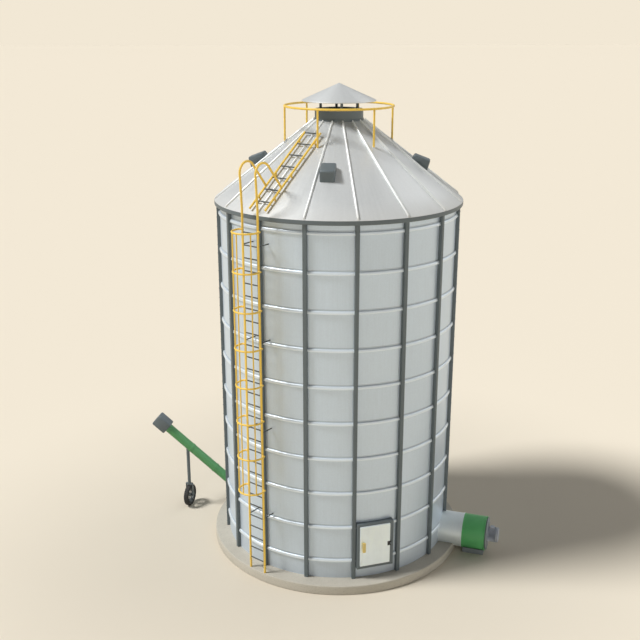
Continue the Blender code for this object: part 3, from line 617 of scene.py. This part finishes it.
def eave():
    size = {"over": 0.0015, "lipDrop": 0.006, "lip": 0.004,
            "rounds": (0.001, 0.020, 0.001, 0.001, 0.0005, 0.001)}
    low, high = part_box("eave_band")[0].z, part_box("eave_band")[1].z
    inner, outer = silo["wallRadius"] - silo["sheet"], silo["eaveRadius"] + size["over"]
    # the band's outer lip reaches up over the edge of the roof sheets
    lip, within = silo["roofEdge"] - size["lipDrop"], outer - size["lip"]
    outline = [(inner, low), (outer, low), (outer, lip), (within, lip), (within, high), (inner, high)]
    form = Form()
    turned(form, rounded(outline, size["rounds"], 4))
    piece(form, "eaveBand", "darkPaint", replaces=["eave_band"], sharp=50.0)


def roof():
    size = {"topRadius": 0.63, "hole": 0.50, "thick": 0.04, "lip": 0.010, "foot": 0.012,
            "ribHalf": 0.024, "ribHeight": 0.055, "ribSide": 0.35, "ribSink": 0.02, "ribEnds": (3.118, 0.65),
            "ribEase": 0.02, "ribShrink": (0.55, 1.0, 1.0), "ribSteps": 8,
            "screws": (3.04, 0.80, 9), "screwSide": 0.05, "screw": 0.016}
    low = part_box("roof")[0].z
    inner, edge = silo["wallRadius"] - silo["sheet"], silo["eaveRadius"]
    top = roofAt(size["topRadius"])
    lip = arc((edge - size["lip"], silo["roofEdge"] - size["lip"] / 2), size["lip"], -60.0, 60.0, 6)
    profile = np.vstack([[(edge - size["foot"], low)], lip, [(size["topRadius"], top), (size["hole"], top),
                         (size["hole"], top - size["thick"]), (inner, roofAt(inner) - size["thick"]),
                         (inner, low)]])
    form = Form()
    turned(form, profile)
    piece(form, "roofSheets", "roofSheet", replaces=["roof"], sharp=42.0)

    # each rib is an arch, flat at its foot, carried straight up the roof, with screws beside it
    form, screws = Form(), Form()
    turn = np.linspace(0.0, np.pi, size["ribSteps"] + 1)
    half, sink = size["ribHalf"], [-size["ribSink"]]
    side = np.concatenate([[half], half * np.cos(turn), [-half]])
    arch = size["ribSide"] + (1.0 - size["ribSide"]) * np.sin(turn)
    rise = np.concatenate([sink, size["ribHeight"] * arch, sink]) * np.array(size["ribShrink"])[:, None]
    foot, end = size["ribEnds"]
    radial = np.array([foot, foot - size["ribEase"], end])[:, None]
    reach = np.repeat(np.linspace(*size["screws"]), 2)
    beside = np.tile([-size["screwSide"], size["screwSide"]], size["screws"][2])
    for azimuth in silo["postPitch"] * np.arange(silo["posts"]):
        form.grid(spot(azimuth, radial, side, roofAt(radial) + rise), caps=True)
        places = spot(azimuth, reach, beside, roofAt(np.hypot(reach, beside)) - silo["sink"])
        boltHeads(screws, places, unit(outward(azimuth) * silo["roofSlope"] + up), size["screw"])
    # ribs and screws take the lighter copy of the roof's sheet, a painted highlight
    piece(form, "roofRibs", "ribHighlightSheet", sharp=42.0)
    piece(screws, "roofScrews", "ribHighlightSheet")


# Peak: dark collar, four legs, rain cap and the handrail hoop

def peak():
    size = {"radius": 0.60, "top": 11.588, "thick": 0.035, "hole": 0.40,
            "rounds": (0.002, 0.004, 0.014, 0.004, 0.004, 0.004), "band": (0.590, 0.614), "bandTop": 0.045,
            "legRadius": 0.457, "leg": 0.03, "legSink": 0.01}
    cap = {"radius": 0.92, "foot": 11.768, "tip": 12.203, "lip": 0.027, "under": 0.035, "inner": 0.86,
           "edge": 0.010, "edgeIn": 0.008, "slopeEnds": (0.90, 0.03), "tipFlat": 0.012, "tipDrop": 0.004,
           "plate": 0.88, "plateTop": 0.012, "turns": 128}
    low, top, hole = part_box("peak_collar")[0].z, size["top"], size["hole"]
    outer, inner, under = size["radius"], size["radius"] - size["thick"], top - size["thick"]
    outline = [(inner, low), (outer, low), (outer, top), (hole, top), (hole, under), (inner, under)]
    form = Form()
    turned(form, rounded(outline, size["rounds"], 3))
    turned(form, rounded(rectangle(*size["band"], low + silo["sink"], low + size["bandTop"]), 0.004, 2))
    piece(form, "peakCollar", "darkPaint", replaces=["peak_collar"], sharp=50.0)

    form = Form()
    reach, half = size["legRadius"], size["leg"]
    for azimuth in (0.0, 90.0, 180.0, 270.0):
        block(form, azimuth, (reach - half, reach + half), (-half, half),
              (top - size["legSink"], cap["foot"] + size["legSink"]))
    piece(form, "capLegs", "darkPaint", bevel=0.004)

    form = Form()
    foot, tip, inner = cap["foot"], cap["tip"], cap["inner"]
    edge = arc((cap["radius"] - cap["edgeIn"], foot + cap["edge"]), cap["edge"], -90.0, 60.0, 6)
    edge[:, 0] = np.minimum(edge[:, 0], cap["radius"])
    slope = (tip - foot - cap["lip"]) / cap["radius"]
    under = tip - cap["under"]
    start, end = cap["slopeEnds"]
    profile = np.vstack([[(0.0, under), (inner, under - slope * inner), (inner, foot)], edge,
                         [(start, tip - slope * start), (end, tip - slope * end - silo["sink"]),
                          (cap["tipFlat"], tip - cap["tipDrop"]), (0.0, tip)]])
    turned(form, profile, cap["turns"], closed=False)
    turned(form, rectangle(hole, cap["plate"], foot + silo["sink"], foot + cap["plateTop"]), cap["turns"])
    piece(form, "peakCap", "roofSheet", replaces=["peak_cap"], sharp=35.0)


def handrail():
    size = {"radius": 1.346, "z": 11.659, "tube": 0.0275, "posts": 6, "turn": -30.0, "post": 0.025,
            "collar": 0.038, "collarTop": 0.014, "sink": 0.004, "onRib": 0.052}
    form, feet = Form(), Form()
    circle = spot(np.arange(0.0, 360.0, 3.0), size["radius"], 0.0, size["z"])
    tube(form, circle, size["tube"], up, closed=True)
    turn = turnsOf(14)
    for at in size["turn"] + 360.0 / size["posts"] * np.arange(size["posts"]):
        # posts and collars stand on the roof's slope, or on a rib where there is one
        lift = size["onRib"] if at % silo["postPitch"] == 0.0 else 0.0
        for shape, radius in ((form, size["post"]), (feet, size["collar"])):
            radial, side = size["radius"] + radius * np.cos(turn), radius * np.sin(turn)
            foot = roofAt(radial) + lift
            top = size["z"] if shape is form else foot + size["collarTop"]
            shape.grid([spot(at, radial, side, z) for z in (foot - size["sink"], top)], caps=True)
    piece(form, "peakHandrail", "yellowPaint", replaces=["peak_handrail"])
    piece(feet, "handrailCollars", "roofSheet", bevel=0.002)


# Hooded roof vents

def vents():
    size = {"azimuth": -15.0, "half": 0.175, "sink": 0.03, "rounds": (0.004, 0.02, 0.03, 0.02, 0.02, 0.004),
            "feet": (1.835, 2.20),
            "hood": [(1.835, 10.433), (1.895, 10.518), (2.265, 10.380), (2.278, 10.345)],
            # how far across each row is, and how far it draws in: the hood has soft sides
            "across": (-1.0, -0.93, -0.78, 0.78, 0.93, 1.0), "inset": (0.030, 0.010, 0.0, 0.0, 0.010, 0.030)}
    first, last = ((reach, roofAt(reach) - size["sink"]) for reach in size["feet"])
    outline = rounded([first, *size["hood"], last], size["rounds"])
    inwards = unit(outline - outline.mean(0))
    for index, name in enumerate(("front", "right", "back", "left")):
        azimuth, rows = size["azimuth"] + 90.0 * index, []
        for across, inset in zip(size["across"], size["inset"]):
            shape = outline - inwards * inset
            rows.append(spot(azimuth, shape[:, 0], across * size["half"], shape[:, 1]))
        form = Form()
        form.grid(rows, caps=True)
        piece(form, "roofVent_" + name, "darkPaint", replaces=["roof_vent_" + name], sharp=60.0)


# Ladder up the wall, its cage, the arched rails and the ladder up the roof

ladder = {
    "stileX": 0.236,
    "stileR": 3.341,
    "tube": 0.0275,
    "rung": 0.016,
    "rungs": 29,
    "rungPitch": 0.3026,
    "standOff": 0.015,
    "standOffs": (8.739, 6.412, 4.132, 1.793),
    "cageR": 3.48,
    "cageRadius": 0.325,
    "cageOpen": 112.0,
    "hoops": 8,
    "hoop": 0.023,
    "strap": 0.017,
    "straps": (-60.0, -30.0, 0.0, 30.0, 60.0),
    "lean": 0.045,
    "leanFrom": 9.58,
    "archZ": 10.36,
    "archRadius": 0.25,
    "archTurn": 141.0,
    "archEnd": 2.50,
    "roofLift": 0.09,
    "roofEnds": (3.08, 1.05),
    "roofRung": 2.88,
    "roofRungPitch": 0.302,
    "roofRungs": 7,
    "roofFoot": 0.018,
    "roofFeet": (2.73, 2.13, 1.25),
    "overlap": 0.01,  # how far a rod reaches into what it joins
}


def ladders():
    at, reach, lift, overlap = silo["ladderAzimuth"], ladder["stileR"], ladder["roofLift"], ladder["overlap"]
    across, stiles = sideways(at), (-ladder["stileX"], ladder["stileX"])
    # up from the pad, over the eave in an arch, and down to the roof's rail
    middle = (reach + ladder["lean"] - ladder["archRadius"], ladder["archZ"])
    bend = arc(middle, ladder["archRadius"], 0.0, ladder["archTurn"], 24)
    end = ladder["archEnd"]
    upright = [(reach, silo["padTop"]), (reach, ladder["leanFrom"])]
    line = np.vstack([upright, bend, [(end, roofAt(end) + lift)]])
    rails, rungs, top, steps = Form(), Form(), Form(), Form()
    for side in stiles:
        tube(rails, spot(at, line[:, 0], side, line[:, 1]), ladder["tube"], across, 16)
    piece(rails, "ladderRails", "yellowPaint",
          replaces=["wall_ladder", "left_grab_rail", "right_grab_rail"])

    for z in silo["padTop"] + ladder["rungPitch"] * (1 + np.arange(ladder["rungs"])):
        tube(rungs, spot(at, reach, stiles, z), ladder["rung"], up, 10)
    for z in ladder["standOffs"]:
        for side in stiles:
            ends = np.array([reach, math.sqrt(silo["wallRadius"] ** 2 - side ** 2)]) - overlap
            tube(rungs, spot(at, ends, side, z), ladder["standOff"], up, 10)
    piece(rungs, "ladderRungs", "rungSteel", sharp=50.0)

    ends = np.array(ladder["roofEnds"])
    for side in stiles:
        tube(top, spot(at, ends, side, roofAt(ends) + lift), ladder["tube"], across, 16)
        for foot in ladder["roofFeet"]:
            tube(top, spot(at, foot, side, roofAt(foot) + (-overlap, lift)), ladder["roofFoot"], across, 10)
    piece(top, "roofLadder", "yellowPaint", replaces=["roof_ladder"])

    for foot in ladder["roofRung"] - ladder["roofRungPitch"] * np.arange(ladder["roofRungs"]):
        tube(steps, spot(at, foot, stiles, roofAt(foot) + lift), ladder["rung"], up, 10)
    piece(steps, "roofRungs", "rungSteel")


def cage():
    at, inner = silo["ladderAzimuth"], ladder["stileX"] + ladder["overlap"]
    reach, radius, opening = ladder["cageR"], ladder["cageRadius"], ladder["cageOpen"]
    heights = ringHeights(ladder["hoops"])
    bow = arc((reach, 0.0), radius, -opening, opening, 32)
    line = np.vstack([[(bow[0, 0], -inner)], bow, [(bow[-1, 0], inner)]])
    form = Form()
    for z in heights:
        tube(form, spot(at, line[:, 0], line[:, 1], z), ladder["hoop"], up, 12)
    for turn in ladder["straps"]:
        out = reach + radius * math.cos(math.radians(turn))
        side = radius * math.sin(math.radians(turn))
        tube(form, spot(at, out, side, heights[[-1, 0]]), ladder["strap"], outward(at + turn), 10)
    piece(form, "ladderCage", "yellowPaint", replaces=["ladder_cage"])


# Door: frame, pressed panel, pull and hinge

def doorFrame():
    size = {"rounds": (0.012, 0.012, 0.05, 0.012), "innerRound": 0.012, "ease": 0.006}
    half, back, face = door["half"], door["back"], door["face"]
    outer = rounded(rectangle(-half, half, *door["z"]), size["rounds"])
    inner = rounded(rectangle(-door["openHalf"], door["openHalf"], *door["openZ"]), size["innerRound"])
    centre = np.array([0.0, sum(door["z"]) / 2])
    eased = centre + (outer - centre) * (1 - size["ease"] / half)
    loops = ((outer, back), (outer, face - size["ease"]), (eased, face), (inner, face), (inner, back))
    form = Form()
    form.grid([onPlane(door["azimuth"], radial, outline) for outline, radial in loops], wrapRows=True)
    piece(form, "doorFrame", "darkPaint", replaces=["door_frame"], sharp=50.0)


def doorPanel():
    size = {"span": (-0.415, 0.375), "z": (0.638, 1.733), "back": 3.1053, "face": 3.14, "corner": 0.016,
            "field": 0.055, "hinge": 0.391, "hingeOut": 0.005, "barrel": 0.013, "frameLeaf": 0.044,
            "knuckles": (1.122, 1.150, 1.210, 1.238), "knuckleGap": 0.0005, "leaf": (0.308, 0.372),
            "leafTop": 0.006, "overlap": 0.002, "pull": (-0.365, -0.285), "pullZ": (1.048, 1.318),
            "pullRound": 0.02, "pullLift": (0.03, 0.055), "pullFoot": (0.015, 0.055), "pullJoin": 0.04}
    at, face, field = door["azimuth"], size["face"], size["field"]
    corners, inwards = rectangle(*size["span"], *size["z"]), rectangle(1, -1, 1, -1)
    # each row's distance in from the edge, and how far out it lies: a soft edge and a shallow field
    steps = [(0.0, size["back"]), (0.0, face - 0.005), (0.0015, face - 0.0015), (0.005, face),
             (field, face), (field + 0.006, face - 0.003)]
    form = Form()
    form.grid([onPlane(at, radial, rounded(corners + inwards * inset, size["corner"], 4))
               for inset, radial in steps], caps=True)
    piece(form, "doorPanel", "doorPaint", "access_door", ["door_panel"], sharp=25.0)

    # the leaf and its two knuckles turn with the panel; the middle knuckle is the frame's
    low, under, over, high = size["knuckles"]
    hinge, gap, overlap = size["hinge"], size["knuckleGap"], size["overlap"]
    line = spot(at, face + size["hingeOut"], hinge, 0.0)
    leaf = (face - silo["sink"], face + size["leafTop"])

    def knuckle(form, foot, top):
        turned(form, [(size["barrel"], foot), (size["barrel"], top)], 20, origin=line, closed=False)

    form = Form()
    block(form, at, leaf, size["leaf"], (low, high))
    for span in ((low, under - gap), (over + gap, high)):
        knuckle(form, *span)
        block(form, at, leaf, (size["leaf"][1] - overlap, hinge), span)
    piece(form, "doorLeaf", "blackPaint", "access_door", bevel=0.001)

    form = Form()
    knuckle(form, under, over)
    block(form, at, (door["face"], face + size["hingeOut"]), (hinge - overlap, hinge + size["frameLeaf"]),
          (under, over))
    piece(form, "doorHinge", "darkPaint", replaces=["door_hinge"], bevel=0.002)

    form = Form()
    (left, right), (low, high), (near, far) = size["pull"], size["pullZ"], size["pullFoot"]
    outline = rounded(rectangle(left, right, low, high), size["pullRound"])
    form.grid([onPlane(at, face + lift, outline) for lift in size["pullLift"]], caps=True)
    for span in ((low + near, low + far), (high - far, high - near)):
        block(form, at, (face - silo["sink"], face + size["pullJoin"]), (left + near, right - near), span)
    piece(form, "doorPull", "pullPaint", "access_door", ["door_handle"], bevel=0.004)


# Fan: duct, drum, motor and saddle

fan = {"azimuth": 65.3, "duct": 0.45, "end": 3.575, "flangeEnd": 3.603, "flange": 0.458, "padEdge": 3.3965,
       "z": 0.497, "drum": 0.462, "drumEnd": 4.205, "lip": 0.013, "turns": 96}


def fanParts():
    at, lip, sides = fan["azimuth"], fan["lip"], fan["turns"]
    centre, axis, across = up * fan["z"], outward(at), sideways(at)
    along = {"origin": centre, "axis": axis, "start": up}
    form = Form()
    # a circle, flat where it lies on the pad: its ends follow the wall's curve and the pad's
    turn = turnsOf(sides, 0.5)
    side, high = fan["duct"] * np.sin(turn), fan["z"] + fan["duct"] * np.cos(turn)
    flat = np.maximum(high, silo["padTop"] + silo["gap"])
    wallEnd, padEnd = (np.sqrt(radius ** 2 - side ** 2) for radius in (silo["wallRadius"], fan["padEdge"]))
    rows = [(wallEnd - 0.02, flat), (padEnd, flat), (padEnd, high), (fan["end"] + silo["sink"], high)]
    form.grid([spot(at, radial, side, z) for radial, z in rows], caps=True)
    flange = rectangle(fan["duct"] - 0.01, fan["flange"], fan["end"] - 0.01, fan["flangeEnd"])
    turned(form, rounded(flange, [0.002, 0.004, 0.004, 0.002], 3), sides, **along)
    piece(form, "fanDuct", "greyPaint", replaces=["fan_duct"], sharp=35.0, merge=0.00001)

    form = Form()
    start, end, radius = fan["flangeEnd"] + silo["gap"], fan["drumEnd"], fan["drum"]
    shell, past = radius - 0.012, 2 * lip + 0.004
    profile = np.vstack([[(radius - 0.03, start)], arc((radius - lip, start + lip), lip, -90.0, 90.0, 6)[1:],
                         [(shell, start + past), (shell, end - past)],
                         arc((radius - lip, end - lip), lip, -90.0, 90.0, 6)[:-1],
                         [(radius - 0.03, end), (radius - 0.05, end - 0.012)]])
    turned(form, profile, sides, closed=False, **along)
    # the drum takes the lighter copy of the green, painted light
    piece(form, "fanDrum", "drumLitGreen", replaces=["fan_drum"], sharp=50.0)

    plate = {"start": 0.012, "turns": 80, "bolts": 12, "boltRadius": 0.405, "bolt": 0.024,
             "profile": [(0.38, 0.0), (0.38, 0.03), (0.430, 0.032), (0.435, 0.037), (0.435, 0.05),
                         (0.430, 0.057), (0.21, 0.060)]}
    form = Form()
    start = fan["drumEnd"] - plate["start"]
    turned(form, np.array(plate["profile"]) + (0.0, start), plate["turns"], closed=False, **along)
    piece(form, "fanBackPlate", "platePaint", replaces=["fan_motor"], sharp=35.0)

    # the motor: steps of (reach, radius) from each end, and between them a shell with cooling fins all
    # round, where the radius follows a cosine of the turn
    motor = {"start": 0.055, "end": 0.335, "turns": 240, "shell": 0.184, "fins": 40, "fin": 0.014,
             "front": [(0.0, 0.198), (0.012, 0.200), (0.02, 0.184)],
             "back": [(-0.085, 0.184), (-0.07, 0.198), (-0.06, 0.200), (-0.012, 0.196), (0.0, 0.170)],
             "box": (0.06, 0.17), "boxHalf": 0.06, "boxUp": (0.16, 0.235)}
    form = Form()
    first, last = start + motor["start"], fan["drumEnd"] + motor["end"]
    steps = [(first + reach, radius) for reach, radius in motor["front"]]
    steps += [(last + reach, radius) for reach, radius in motor["back"]]
    reach, radii = np.array(steps).T[..., None]
    turn = turnsOf(motor["turns"])
    radii = radii + (radii == motor["shell"]) * motor["fin"] * np.cos(turn * motor["fins"])
    form.grid(centre + axis * reach[..., None] + ringOf(turn, up, across) * radii[..., None], caps=True)
    block(form, at, [first + end for end in motor["box"]], (-motor["boxHalf"], motor["boxHalf"]),
          [fan["z"] + end for end in motor["boxUp"]])
    piece(form, "fanMotor", "motorPaint", sharp=45.0)

    bolts = Form()
    ring = ringOf(turnsOf(plate["bolts"], 0.5), up, across)
    boltHeads(bolts, centre + axis * first + plate["boltRadius"] * ring, axis, plate["bolt"])
    piece(bolts, "fanBolts", "zinc")

    # the saddle's top follows the drum, up to its own height
    saddle = {"ends": (3.633, 4.185), "half": 0.30, "top": 0.14, "clear": 0.0005}
    form = Form()
    side = np.linspace(-saddle["half"], saddle["half"], 25)
    seat = fan["z"] - np.sqrt((fan["drum"] + saddle["clear"]) ** 2 - side ** 2)
    outline = np.vstack([np.stack([side, np.minimum(seat, saddle["top"])], -1),
                         [(saddle["half"], 0.0), (-saddle["half"], 0.0)]])
    form.grid([onPlane(at, end, outline) for end in saddle["ends"]], caps=True)
    piece(form, "fanSaddle", "platePaint", replaces=["fan_base"], bevel=0.004)


# Auger: tube, head box, leg with its fork, and the wheel

auger = {"wallAzimuth": -116.3, "wallZ": 0.663, "slope": 0.8647, "radius": 0.125, "headAt": 2.217,
         "head": (0.44, 0.33, 0.36), "headRound": 0.05, "leg": 0.047,
         "wheelAzimuth": -112.8, "wheelR": 4.487, "wheel": 0.32, "tyreHalf": 0.075, "rim": 0.23,
         "hub": 0.05, "bore": 0.0208, "spokes": 6, "spoke": 0.012}


def augerFrame():
    entry = spot(auger["wallAzimuth"], silo["wallRadius"], 0.0, auger["wallZ"])
    wheel = spot(auger["wheelAzimuth"], auger["wheelR"], 0.0, auger["wheel"])
    plan = (wheel - entry) * (1, 1, 0)
    along = unit(unit(plan) + up * auger["slope"])
    return entry, wheel, np.linalg.norm(plan), along, np.cross(up, unit(plan))


def augerParts():
    entry, wheel, distance, along, side = augerFrame()
    length, width, depth = auger["head"]
    headStart = auger["headAt"] * math.sqrt(1 + auger["slope"] ** 2) - length / 2
    # the tube starts inside the wall and has two raised bands
    size = {"start": -0.22, "end": 0.01, "bands": (0.34, 0.67), "turns": 64,
            "band": ((0.0, -0.03), (0.008, -0.028), (0.008, 0.028), (0.0, 0.03))}
    radius, profile = auger["radius"], [(auger["radius"], size["start"])]
    for share in size["bands"]:
        profile += [(radius + out, headStart * share + reach) for out, reach in size["band"]]
    profile += [(radius, headStart + size["end"])]
    form = Form()
    turned(form, profile, size["turns"], origin=entry, axis=along, start=side, closed=False)
    piece(form, "augerTube", "greenPaint", replaces=["auger_tube"], sharp=30.0)

    form = Form()
    outline = rounded(rectangle(-width / 2, width / 2, -depth / 2, depth / 2), auger["headRound"], 6)
    # both ends of the box are eased in steps of (reach, inset)
    ends = [(0.0, 0.03), (0.008, 0.010), (0.03, 0.0)]
    ends += [(length - reach, inset) for reach, inset in ends[::-1]]
    box = outline[:, :1] * side + outline[:, 1:] * np.cross(along, side)
    form.grid([entry + along * (headStart + reach) + box * (1 - inset / (width / 2))
               for reach, inset in ends], caps=True)
    piece(form, "augerHead", "darkPaint", replaces=["auger_head"], sharp=50.0)

    form = Form()
    fork = {"clear": 0.012, "tine": 0.02, "tineHalf": 0.03, "foot": 0.035, "crown": (0.012, 0.06),
            "crownHalf": 0.04, "axle": 0.02, "axleEnd": 0.032, "overlap": 0.01}
    azimuth, reach, radius = auger["wheelAzimuth"], auger["wheelR"], auger["wheel"]
    tine = auger["tyreHalf"] + fork["clear"]
    crown = [2 * radius + end for end in fork["crown"]]
    for low, high in ((-tine - fork["tine"], -tine), (tine, tine + fork["tine"])):
        block(form, azimuth, (reach + low, reach + high), (-fork["tineHalf"], fork["tineHalf"]),
              (radius - fork["foot"], crown[1] - 0.002))
    half, end = tine + fork["clear"], tine + fork["axleEnd"]
    block(form, azimuth, (reach - half, reach + half), (-fork["crownHalf"], fork["crownHalf"]), crown)
    axle = [(fork["axle"], -end), (fork["axle"], end)]
    turned(form, axle, 24, origin=wheel, axis=outward(azimuth), start=up, closed=False)
    top = auger["wallZ"] + auger["slope"] * distance - auger["radius"] * 0.6
    leg = [(auger["leg"], crown[1] - fork["overlap"]), (auger["leg"], top)]
    turned(form, leg, 28, origin=wheel * (1, 1, 0), closed=False)
    piece(form, "augerLeg", "darkPaint", replaces=["auger_leg"], sharp=45.0, bevel=0.002)


def augerWheel():
    wheel = augerFrame()[1]
    axle, lateral = outward(auger["wheelAzimuth"]), sideways(auger["wheelAzimuth"])
    around = {"origin": wheel, "axis": axle, "start": up}
    rim, half, radius, hub = auger["rim"], auger["tyreHalf"], auger["wheel"], auger["hub"]
    form = Form()
    edge = [(-0.035, 0.045), (-0.008, 0.05), (0.0, 0.062), (0.004, 0.05), (-0.004, 0.044)]
    edge = [(rim + out, reach) for out, reach in edge]
    turned(form, [(out, -reach) for out, reach in edge] + edge[::-1], 72, **around)
    turned(form, rectangle(auger["bore"], hub, -0.06, 0.06), 36, **around)
    for reach in ringOf(turnsOf(auger["spokes"]), lateral, up):
        tube(form, [wheel + reach * end for end in (hub - 0.008, rim - 0.025)], auger["spoke"], axle, 12)
    piece(form, "wheelRim", "rungSteel", "auger_wheel", ["auger_wheel_rim"], sharp=35.0)

    # tyre: a rounded section, with tread bars cut by a wave that shifts from side to side
    tyre = {"turns": 240, "bars": 30, "shift": 1.5, "level": 0.35, "depth": 0.009, "treadFrom": 0.022,
            "shoulder": 0.045, "side": 0.03, "bead": 0.002, "rounds": (0.004, 0.02, 0.02, 0.02)}
    shoulder, sideFoot, sideTop = tyre["shoulder"], rim + tyre["side"], radius - tyre["side"]
    outline = [(rim + tyre["bead"], -shoulder), (sideFoot, -half), (sideTop, -half), (radius, -shoulder)]
    outline += [(out, -reach) for out, reach in outline[::-1]]
    section = rounded(outline, tyre["rounds"] + tyre["rounds"][::-1], 3)
    turn = turnsOf(tyre["turns"])
    tread = section[:, 0] > radius - tyre["treadFrom"]
    wave = np.cos(turn[:, None] * tyre["bars"] + np.sign(section[:, 1]) * tyre["shift"])
    radii = section[:, 0] - np.where(wave > tyre["level"], 0.0, tyre["depth"]) * tread
    form = Form()
    ring = ringOf(turn, up, lateral)
    form.grid(wheel + ring[:, None] * radii[..., None] + axle * section[:, 1:], wrapRows=True)
    piece(form, "wheelTyre", "rubber", "auger_wheel", ["auger_wheel_tyre"], sharp=40.0)


for make in (pad, wall, posts, eave, roof, peak, handrail, vents):
    make()
print("wall, roof and peak made")
ladders()
cage()
print("ladders made")
for make in (doorFrame, doorPanel, fanParts, augerParts, augerWheel):
    make()
print("door, fan and auger made")


# Studio: level floor, plain backdrop, one key light from the left and four weak wide ones

studio = {
    "backdrop": (0.888, 0.806, 0.665),
    "backdropStrength": 1.0,
    "mirrored": (1.0, 1.0, 1.0),
    "mirroredStrength": 0.15,
    "floor": (0.8064, 0.7314, 0.6038),
    "floorReach": 900.0,
    "floorZ": -0.001,
    # painted shade: the floor is darker near the silo, over this reach and by this tone
    "floorShadeReach": (2.5, 12.5),
    "floorShadeTone": 0.80,
    # each light: its strength, the azimuth and elevation it comes from, and how wide it is
    "suns": {
        "keyLight": (3.42, -88.0, 51.0, 15.0),
        "backLight": (0.79, 110.0, 30.0, 60.0),
        "rearLight": (0.34, 180.0, 45.0, 100.0),
        "lowLight": (0.34, 62.0, 12.0, 50.0),
        "frontLight": (0.48, 5.0, 14.0, 60.0),
    },
    "lens": 51.49,
    "sensor": 36.0,
    "farClip": 2000.0,
    "cameraPlace": (-3.287, -22.841, 13.417),
    "cameraTurn": (72.45, 0.0, -7.025),
}


def floor():
    mesh = bpy.data.meshes.new("studioFloor")
    reach = studio["floorReach"]
    corners = [(x, y, 0.0) for x, y in rectangle(-reach, reach, -reach, reach)]
    mesh.from_pydata(corners, [], [(0, 1, 2, 3)])
    finish = Finish("studioFloor")
    x, y, _ = finish.split()
    # painted shade: the floor darkens towards the silo, standing for the light the silo keeps off it
    near = 1.0 - (x * x + y * y).maths("SQRT").between(*studio["floorShadeReach"])
    tone = finish.mix(near, studio["floor"], shade(studio["floor"], studio["floorShadeTone"]))
    mesh.materials.append(finish.set(colour=tone, roughness=1.0, specular=0.0))
    item = placed("studioFloor", mesh)
    item.location.z = studio["floorZ"]


def sky():
    # the camera sees the backdrop, glossy faces mirror a dim white, and nothing else is lit by it
    world = bpy.data.worlds.new("studioSky")
    graph, shown = Graph(world), None
    for name, ray in (("mirrored", "Is Glossy Ray"), ("backdrop", "Is Camera Ray")):
        light = {"Color": studio[name], "Strength": studio[name + "Strength"]}
        inputs = {0: graph.node("ShaderNodeLightPath", {}, ray), 2: graph.node("ShaderNodeBackground", light)}
        if shown:
            inputs[1] = shown
        shown = graph.node("ShaderNodeMixShader", inputs)
    graph.connect(graph.tree.nodes["World Output"].inputs[0], shown)
    bpy.context.scene.world = world


def sun(name, strength, fromAzimuth, elevation, angle):
    data = bpy.data.lights.new(name, "SUN")
    data.energy = strength
    data.angle = math.radians(angle)
    placed(name, data).rotation_euler = (math.radians(90.0 - elevation), 0.0, math.radians(fromAzimuth))


def camera():
    data = bpy.data.cameras.new("camera")
    data.lens = studio["lens"]
    data.sensor_width = studio["sensor"]
    data.clip_end = studio["farClip"]
    item = placed("camera", data)
    item.location = studio["cameraPlace"]
    item.rotation_euler = [math.radians(turn) for turn in studio["cameraTurn"]]
    bpy.context.scene.camera = item


floor()
sky()
for name, values in studio["suns"].items():
    sun(name, *values)
camera()
bpy.context.scene.view_settings.view_transform = "Standard"
print("studio made")
